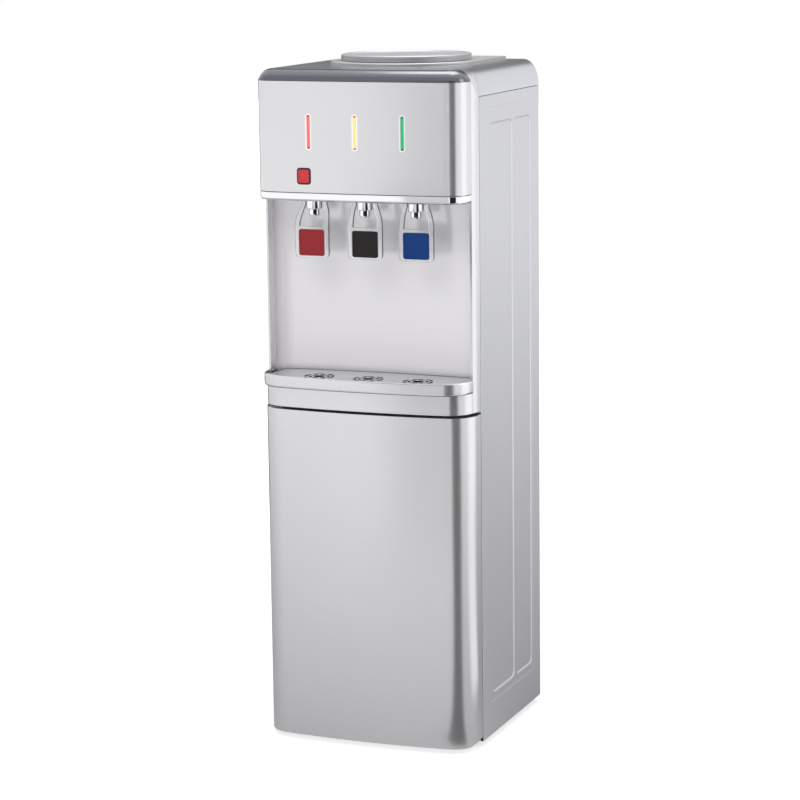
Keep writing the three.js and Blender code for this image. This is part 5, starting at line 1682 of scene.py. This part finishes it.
class MakeLevers(bpy.types.Operator):
    """Clear push levers and their coloured pads"""
    bl_idname = "dispenser.make_levers"
    bl_label = "Levers"

    outer = 18.5
    inner = 12.8
    window = 18
    corner = 7
    arm_top = 747
    pad_top = 716.6
    thickness = 4
    eye = 5
    eye_place = 15.65
    eye_half = 2.85
    pin_bore = 2.3
    pocket_gap = 0.3
    pad_corner = 3
    pad_edge = 0.4
    pad_border = 1.4
    pad_dish = 0.3

    def paddle(self, wide, bottom, pivot, front):
        """Paddle and two arms in one outline that is open at the top."""
        top, arm, outer, inner, window = (self.pad_top, self.arm_top, self.outer, self.inner,
                                          self.window)
        half_way = (top + arm) / 2
        straight = wide - self.corner
        centre = bottom + self.corner
        form = Form()
        pen = form.pen("front", front).start(-wide, top)
        pen.to((-wide, centre)).turn(-straight, centre, 90, 8)
        pen.to((straight, bottom)).turn(straight, centre, 90, 8).to((wide, top))
        pen.to(*bend((wide, top), (wide, half_way), (outer, arm), 10))
        pen.to((outer, pivot), (inner, pivot), (inner, arm))
        pen.to(*bend((inner, arm), (window, half_way), (window, top), 10), (-window, top))
        pen.to(*bend((-window, top), (-window, half_way), (-inner, arm), 10))
        pen.to((-inner, pivot), (-outer, pivot), (-outer, arm))
        pen.to(*bend((-outer, arm), (-wide, half_way), (-wide, top), 10)[:-1])
        form.prism(pen.close(), (0, self.thickness, 0))
        return form.weld().outwards()

    def execute(self, context):
        for tap in TAPS:
            a, b = corners(f"lever_{tap}")
            pad_low, pad_high = corners(f"lever_pad_{tap}")
            pivot = joint_place(f"{tap}_lever_push")
            x = middle(f"lever_{tap}").x
            front = pad_low.y
            form = self.paddle((b.x - a.x) / 2, a.z, pivot.z, front)
            aside = middle(f"lever_pad_{tap}").x - x
            for point in form.mesh.verts:
                way = (self.arm_top - point.co.z) / (self.arm_top - self.pad_top)
                point.co.x += aside * smooth(way)
            piece = draft(form.moved(x), f"paddle_{tap}")
            centre = (x, pivot.y, pivot.z)
            eyes = [rod(self.eye, place - self.eye_half, place + self.eye_half, edge=0.3,
                        steps=32, axis="x", at=centre)
                    for place in (-self.eye_place, self.eye_place)]
            carve(piece, *eyes, operation="UNION")
            pin = drill(self.pin_bore, -25, 25, 20, centre, "x")
            gap = self.pocket_gap
            pocket = slab("front", front - 3, pad_high.y + gap, pad_low.x - gap,
                          pad_high.x + gap, pad_low.z - gap, pad_high.z + gap,
                          self.pad_corner + gap)
            carve(piece, pin, pocket)
            finish(piece, paint("clear_lever", clear_plastic, "clear"), "clear_plastic",
                   f"lever_{tap}", body=f"{tap}_lever", rim=0.8)
            self.pad(tap, pad_low, pad_high)
        return done()

    def pad(self, tap, a, b):
        form = slab("front", a.y, b.y, a.x, b.x, a.z, b.z, self.pad_corner)
        form.soften(self.pad_edge)
        dished(form, self.pad_border, self.pad_dish)
        coat = paint(f"pad_{tap}", moulded, f"pad_{tap}", roughness=0.5, shine=0.15)
        slot = {"hot": "pad_red", "ambient": "pad_black", "cold": "pad_blue"}[tap]
        finish(draft(form, f"grip_{tap}"), coat, slot, f"lever_pad_{tap}", body=f"{tap}_lever")


def pipe(form, pen, radius, name, place):
    """A round pipe along a drawn line, capped at its ends."""
    points = [pen.first.co.copy()]
    edge = pen.first.link_edges[0]
    point = edge.other_vert(pen.first)
    while True:
        points.append(point.co.copy())
        onward = [e for e in point.link_edges if e != edge]
        if not onward:
            break
        edge = onward[0]
        point = edge.other_vert(point)
    form.mesh.free()
    curve = bpy.data.curves.new(name, "CURVE")
    curve.dimensions = "3D"
    curve.bevel_depth = radius
    curve.bevel_resolution = 3
    curve.use_fill_caps = True
    spline = curve.splines.new("POLY")
    spline.points.add(len(points) - 1)
    for target, point in zip(spline.points, points):
        target.co = (*(point + Vector(place)), 1)
    holder = add_object(name, curve)
    mesh = evaluated_mesh(holder)
    bpy.data.objects.remove(holder)
    shape = Form()
    shape.mesh.from_mesh(mesh)
    bpy.data.meshes.remove(mesh)
    return shape.weld().outwards()


def screw_head(x, y, z, radius):
    """Round head of a screw whose face looks to the back."""
    profile = [(0, 0), (radius, 0), (radius, radius * 0.2), (radius * 0.85, radius * 0.42),
               (radius * 0.5, radius * 0.55), (0, radius * 0.6)]
    return lathe(profile, 20, axis="y", at=(x, y, z))


class MakeCondenser(bpy.types.Operator):
    """Folded condenser tube with its wires and straps"""
    bl_idname = "dispenser.make_condenser"
    bl_label = "Condenser"

    half = 118
    pitch = 42.86
    runs = 15
    radius = 2.6
    wire_step = 5.9
    drain_gap = 9
    strap_inset = 70
    strap_half = 6
    strap_depth = 1.2
    screw = 3.2

    def execute(self, context):
        tube_low, tube_high = corners("condenser_tube")
        bottom = tube_low.z + self.radius
        form = Form()
        pen = form.pen("front", 0).start(-self.half, 0)
        for run in range(self.runs):
            side = 1 if run % 2 == 0 else -1
            pen.to((side * self.half, run * self.pitch))
            if run + 1 < self.runs:
                pen.turn(side * self.half, (run + 0.5) * self.pitch, side * 180, 12)
        tube = pipe(form, pen, self.radius, "folded_tube",
                    (0, tube_high.y - self.radius, bottom))
        finish(draft(tube, "folded_tube"), black_enamel(), "black_enamel", "condenser_tube")
        self.wires(bottom, tube_high.z - self.radius)
        return done()

    def wires(self, bottom, top):
        a, b = corners("condenser_wires")
        wire = size("wire_radius")
        drain_x = middle("drain_cap").x
        count = int(self.half / self.wire_step)
        rack = Form()
        for i in range(-count, count + 1):
            x = i * self.wire_step
            if abs(x - drain_x) < self.drain_gap:
                continue
            line = Form()
            line.prism(line.pen("plan", a.z).ring(x, b.y - wire, wire, 6), (0, 0, b.z - a.z))
            rack.take(line.outwards())
        strap_back = a.y + self.strap_depth
        for z in (bottom + self.strap_inset, top - self.strap_inset):
            rack.take(block(a.x, b.x, a.y, strap_back, z - self.strap_half,
                            z + self.strap_half, edge=0.3))
            for side in (-1, 1):
                for x in (self.half + 4, b.x - 8):
                    rack.take(screw_head(side * x, strap_back - 0.1, z, self.screw))
        finish(draft(rack, "wire_rack"), black_enamel(), "black_enamel", "condenser_wires")


class DressSolids(bpy.types.Operator):
    """Materials of the solids that are shown as they are"""
    bl_idname = "dispenser.dress_solids"
    bl_label = "Other solids"

    def execute(self, context):
        foam = paint("white_foam", beaded_foam, "foam")
        steel = paint("stainless", drawn_metal, "steel", roughness=0.3, stretch=(1, 1, 12))
        copper = paint("copper_pipe", drawn_metal, "copper", roughness=0.3, stretch=(1, 8, 1))
        board = paint("light_board", circuit_board, "board")
        red = paint("rocker_red", moulded, "button", roughness=0.3)
        green = paint("rocker_green", moulded, "green", roughness=0.3)
        coats = (
            (zinc(), ("base_pan", "back_panel", "lower_deck", "tank_shelf", "hinge_lower",
                      "hinge_upper", "catch_plate")),
            (white(), ("cupboard_liner", "door_liner", "drain_pipe")),
            (dark(), ("switch_housing", "drain_cap", "door_magnet")),
            (rubber(), ("foot_front_left", "foot_front_right", "foot_back_left",
                        "foot_back_right", "cord_gland")),
            (foam, ("tank_foam",)),
            (black_enamel(), ("compressor",)),
            (steel, ("cold_tank", "hot_tank")),
            (copper, ("filter_drier",)),
            (board, ("indicator_board",)),
            (red, ("rocker_hot",)),
            (green, ("rocker_cold",)),
        )
        for coat, nodes in coats:
            for node in nodes:
                solid = frame["nodes"][node]
                solid.data.materials.clear()
                solid.data.materials.append(coat.material)
        return done()


class MakeStage(bpy.types.Operator):
    """Floor, backdrop, lamps, reflection cards and camera"""
    bl_idname = "dispenser.make_stage"
    bl_label = "Stage"

    floor_half = 12
    floor_level = 0.12
    floor_gain = 0.2
    rear_gain = 0.18
    ambient = 0.35
    lens = 121.82
    sensor = 36
    eye = (1.39541, -3.50022, 1.14517)
    yaw = 0.3796
    pitch = 0.1782
    roll = -0.012

    def pale_floor(self):
        """A floor that the camera and glass see white, with the object's shadow.

        Metal sees it with painted shade: dark near and behind the object, lighter further away.
        """
        coat = Paint("pale_floor")
        path = coat.tree.nodes.new("ShaderNodeLightPath")
        camera, glossy, clear = (Value(coat, path.outputs[f"Is {kind} Ray"])
                                 for kind in ("Camera", "Glossy", "Transmission"))
        away = coat.node("ShaderNodeVectorMath", {"operation": "LENGTH"}, {0: coat.place()},
                         "Value")
        shown = camera.most(clear) * away.ease(0.5, 1.8, 0.6, 1.0)
        # Painted shade: in reflections the floor is dark near and behind the object and lighter
        # further away.
        behind = coat.axis("Y") / away
        level = away * self.floor_gain - behind * self.rear_gain + self.floor_level
        mirrored = glossy * level.least(1.0)
        tone = coat.mix(glossy, (0.8, 0.8, 0.8), (0.3, 0.3, 0.3))
        return coat.set(
            Base_Color=tone, Roughness=0.9, Specular_IOR_Level=0.1, Emission_Strength=1.0,
            Emission_Color=coat.mix(shown + mirrored, (0, 0, 0), (1, 1, 1)))

    def card(self, name, azimuth, distance, width, foot, top, tone, glow=0.0, near=None):
        """A dark or a lit card that only shows in reflections.

        Its foot can be nearer than its top, so that it leans or lies."""
        turn = math.radians(azimuth)
        across = Vector((math.cos(turn), math.sin(turn), 0)) * width / 2
        out = Vector((math.sin(turn), -math.cos(turn), 0))
        near = near or distance
        low_end = out * near + Z * foot
        high_end = out * distance + Z * top
        narrow = across * near / distance
        form = Form()
        points = [bmesh.ops.create_vert(form.mesh, co=place)["vert"][0]
                  for place in (low_end - narrow, low_end + narrow, high_end + across,
                                high_end - across)]
        form.fill(points)
        card = add_object(name, freeze(form.mesh, name))
        cloth = Paint(name)
        weave = cloth.noise(200)
        cloth.set(Base_Color=cloth.shade((tone, tone, tone), 0.1, weave), Roughness=1.0,
                  Specular_IOR_Level=0.0, Emission_Color=(1, 1, 1), Emission_Strength=glow)
        card.data.materials.append(cloth.material)
        for ray in ("camera", "diffuse", "shadow", "transmission"):
            setattr(card, f"visible_{ray}", False)

    def lamp(self, name, place, aim, wide, tall, power, mirrored=False):
        light = bpy.data.lights.new(name, "AREA")
        light.shape = "RECTANGLE"
        light.size = wide
        light.size_y = tall
        light.energy = power
        holder = add_object(name, light)
        holder.location = place
        way = Vector(aim) - Vector(place)
        holder.rotation_euler = way.to_track_quat("-Z", "Y").to_euler()
        holder.visible_camera = False
        holder.visible_glossy = mirrored

    def sky(self, scene):
        """White for the camera, metal and glass, and a plain grey light for the rest."""
        world = bpy.data.worlds.new("studio")
        scene.world = world
        world.use_nodes = True
        nodes = world.node_tree.nodes
        links = world.node_tree.links
        path = nodes.new("ShaderNodeLightPath")
        seen = path.outputs["Is Camera Ray"]
        for kind in ("Glossy", "Transmission"):
            either = nodes.new("ShaderNodeMath")
            either.operation = "MAXIMUM"
            links.new(seen, either.inputs[0])
            links.new(path.outputs[f"Is {kind} Ray"], either.inputs[1])
            seen = either.outputs[0]
        level = nodes.new("ShaderNodeMapRange")
        level.inputs["To Min"].default_value = self.ambient
        level.inputs["To Max"].default_value = 1.0
        links.new(seen, level.inputs["Value"])
        links.new(level.outputs["Result"], nodes["Background"].inputs["Strength"])
        nodes["Background"].inputs["Color"].default_value = (1, 1, 1, 1)

    def camera(self, scene):
        """The camera of the photograph: its place in metres, its angles in radians."""
        data = bpy.data.cameras.new("camera")
        data.lens = self.lens
        data.sensor_width = self.sensor
        camera = add_object("camera", data)
        yaw, pitch, roll = self.yaw, self.pitch, self.roll
        away = Vector((-math.sin(yaw) * math.cos(pitch), math.cos(yaw) * math.cos(pitch),
                       -math.sin(pitch)))
        right = Vector((math.cos(yaw), math.sin(yaw), 0))
        up = right.cross(away)
        right, up = (right * math.cos(roll) + up * math.sin(roll),
                     up * math.cos(roll) - right * math.sin(roll))
        turn = Matrix((right, up, -away)).transposed().to_4x4()
        camera.matrix_world = Matrix.Translation(self.eye) @ turn
        scene.camera = camera

    def execute(self, context):
        scene = context.scene
        scene.view_settings.view_transform = "Standard"
        ground = bmesh.new()
        bmesh.ops.create_grid(ground, x_segments=1, y_segments=1, size=self.floor_half)
        floor = add_object("floor", freeze(ground, "floor"))
        floor.data.materials.append(self.pale_floor().material)
        self.sky(scene)
        lamp = self.lamp
        lamp("key", (-0.25, -2.6, 0.5), aim=(0, 0, 0.7), wide=0.34, tall=0.3, power=19)
        lamp("fill", (-0.2, -1.8, 2.2), aim=(0, 0, 0.7), wide=1.2, tall=1.0, power=12)
        lamp("corner", (1.1, -2.3, 0.8), aim=(0, 0, 0.6), wide=0.8, tall=0.8, power=10)
        lamp("side", (2.2, 0.6, 2.0), aim=(0.1, 0, 0.8), wide=1.2, tall=1.0, power=11,
             mirrored=True)
        lamp("top", (0, 0.8, 2.9), aim=(0, 0, 0.8), wide=1.6, tall=1.4, power=22,
             mirrored=True)
        card = self.card
        card("dark_card_right", 38, 1.25, width=0.68, foot=0.36, top=1.5, tone=0.03)
        card("dark_card_low", 39, 1.25, width=0.74, foot=0.0, top=0.36, tone=0.03)
        card("dark_card_rear", 216, 1.5, width=1.3, foot=0.0, top=1.05, tone=0.04)
        card("dark_card_floor", 40, 1.25, width=0.6, foot=0.002, top=0.002, tone=0.06,
             near=0.23)
        card("dark_card_back", 197, 2.4, width=2.4, foot=1.0, top=2.6, tone=0.18)
        card("dark_card_taps", 20, 0.46, width=0.6, foot=0.61, top=0.7, tone=0.02)
        card("grey_card_front", 2, 1.35, width=0.74, foot=0.0, top=1.5, tone=0.0, glow=0.7)
        card("bright_card_right", 108, 1.7, width=1.3, foot=0.0, top=1.3, tone=0.5, glow=1.03)
        card("bright_card_floor", 100, 1.7, width=1.1, foot=0.002, top=0.002, tone=0.5,
             glow=0.7, near=0.4)
        self.camera(scene)
        return done()


OPERATORS = (
    MakeStage, MakeSidePanels, MakeDoor, MakeBand, MakeTray, MakeGrille, MakeRecess,
    MakeFrontFrame, MakeHead, MakeStrip, MakeVisor, MakeTopCover, MakeLid, MakeBottleSeat,
    MakeLightBars, MakeButton, MakeTaps, MakeLevers, MakeCondenser, DressSolids,
)


class DispenserPanel(bpy.types.Panel):
    """Lists the pieces of the dispenser"""
    bl_idname = "VIEW3D_PT_dispenser"
    bl_label = "Water dispenser"
    bl_space_type = "VIEW_3D"
    bl_region_type = "UI"
    bl_category = "Dispenser"

    def draw(self, context):
        for group in (context.scene.dispenser_sizes, context.scene.dispenser_colours):
            for name in group.__annotations__:
                self.layout.prop(group, name)
        for operator in OPERATORS:
            self.layout.operator(operator.bl_idname)


CLASSES = (DispenserSizes, DispenserColours, *OPERATORS, DispenserPanel)


def register():
    for item in CLASSES:
        bpy.utils.register_class(item)
    bpy.types.Scene.dispenser_sizes = PointerProperty(type=DispenserSizes)
    bpy.types.Scene.dispenser_colours = PointerProperty(type=DispenserColours)


def unregister():
    del bpy.types.Scene.dispenser_colours
    del bpy.types.Scene.dispenser_sizes
    for item in reversed(CLASSES):
        bpy.utils.unregister_class(item)


def main():
    register()
    for operator in OPERATORS:
        group, name = operator.bl_idname.split(".")
        getattr(getattr(bpy.ops, group), name)()


if __name__ == "__main__":
    main()
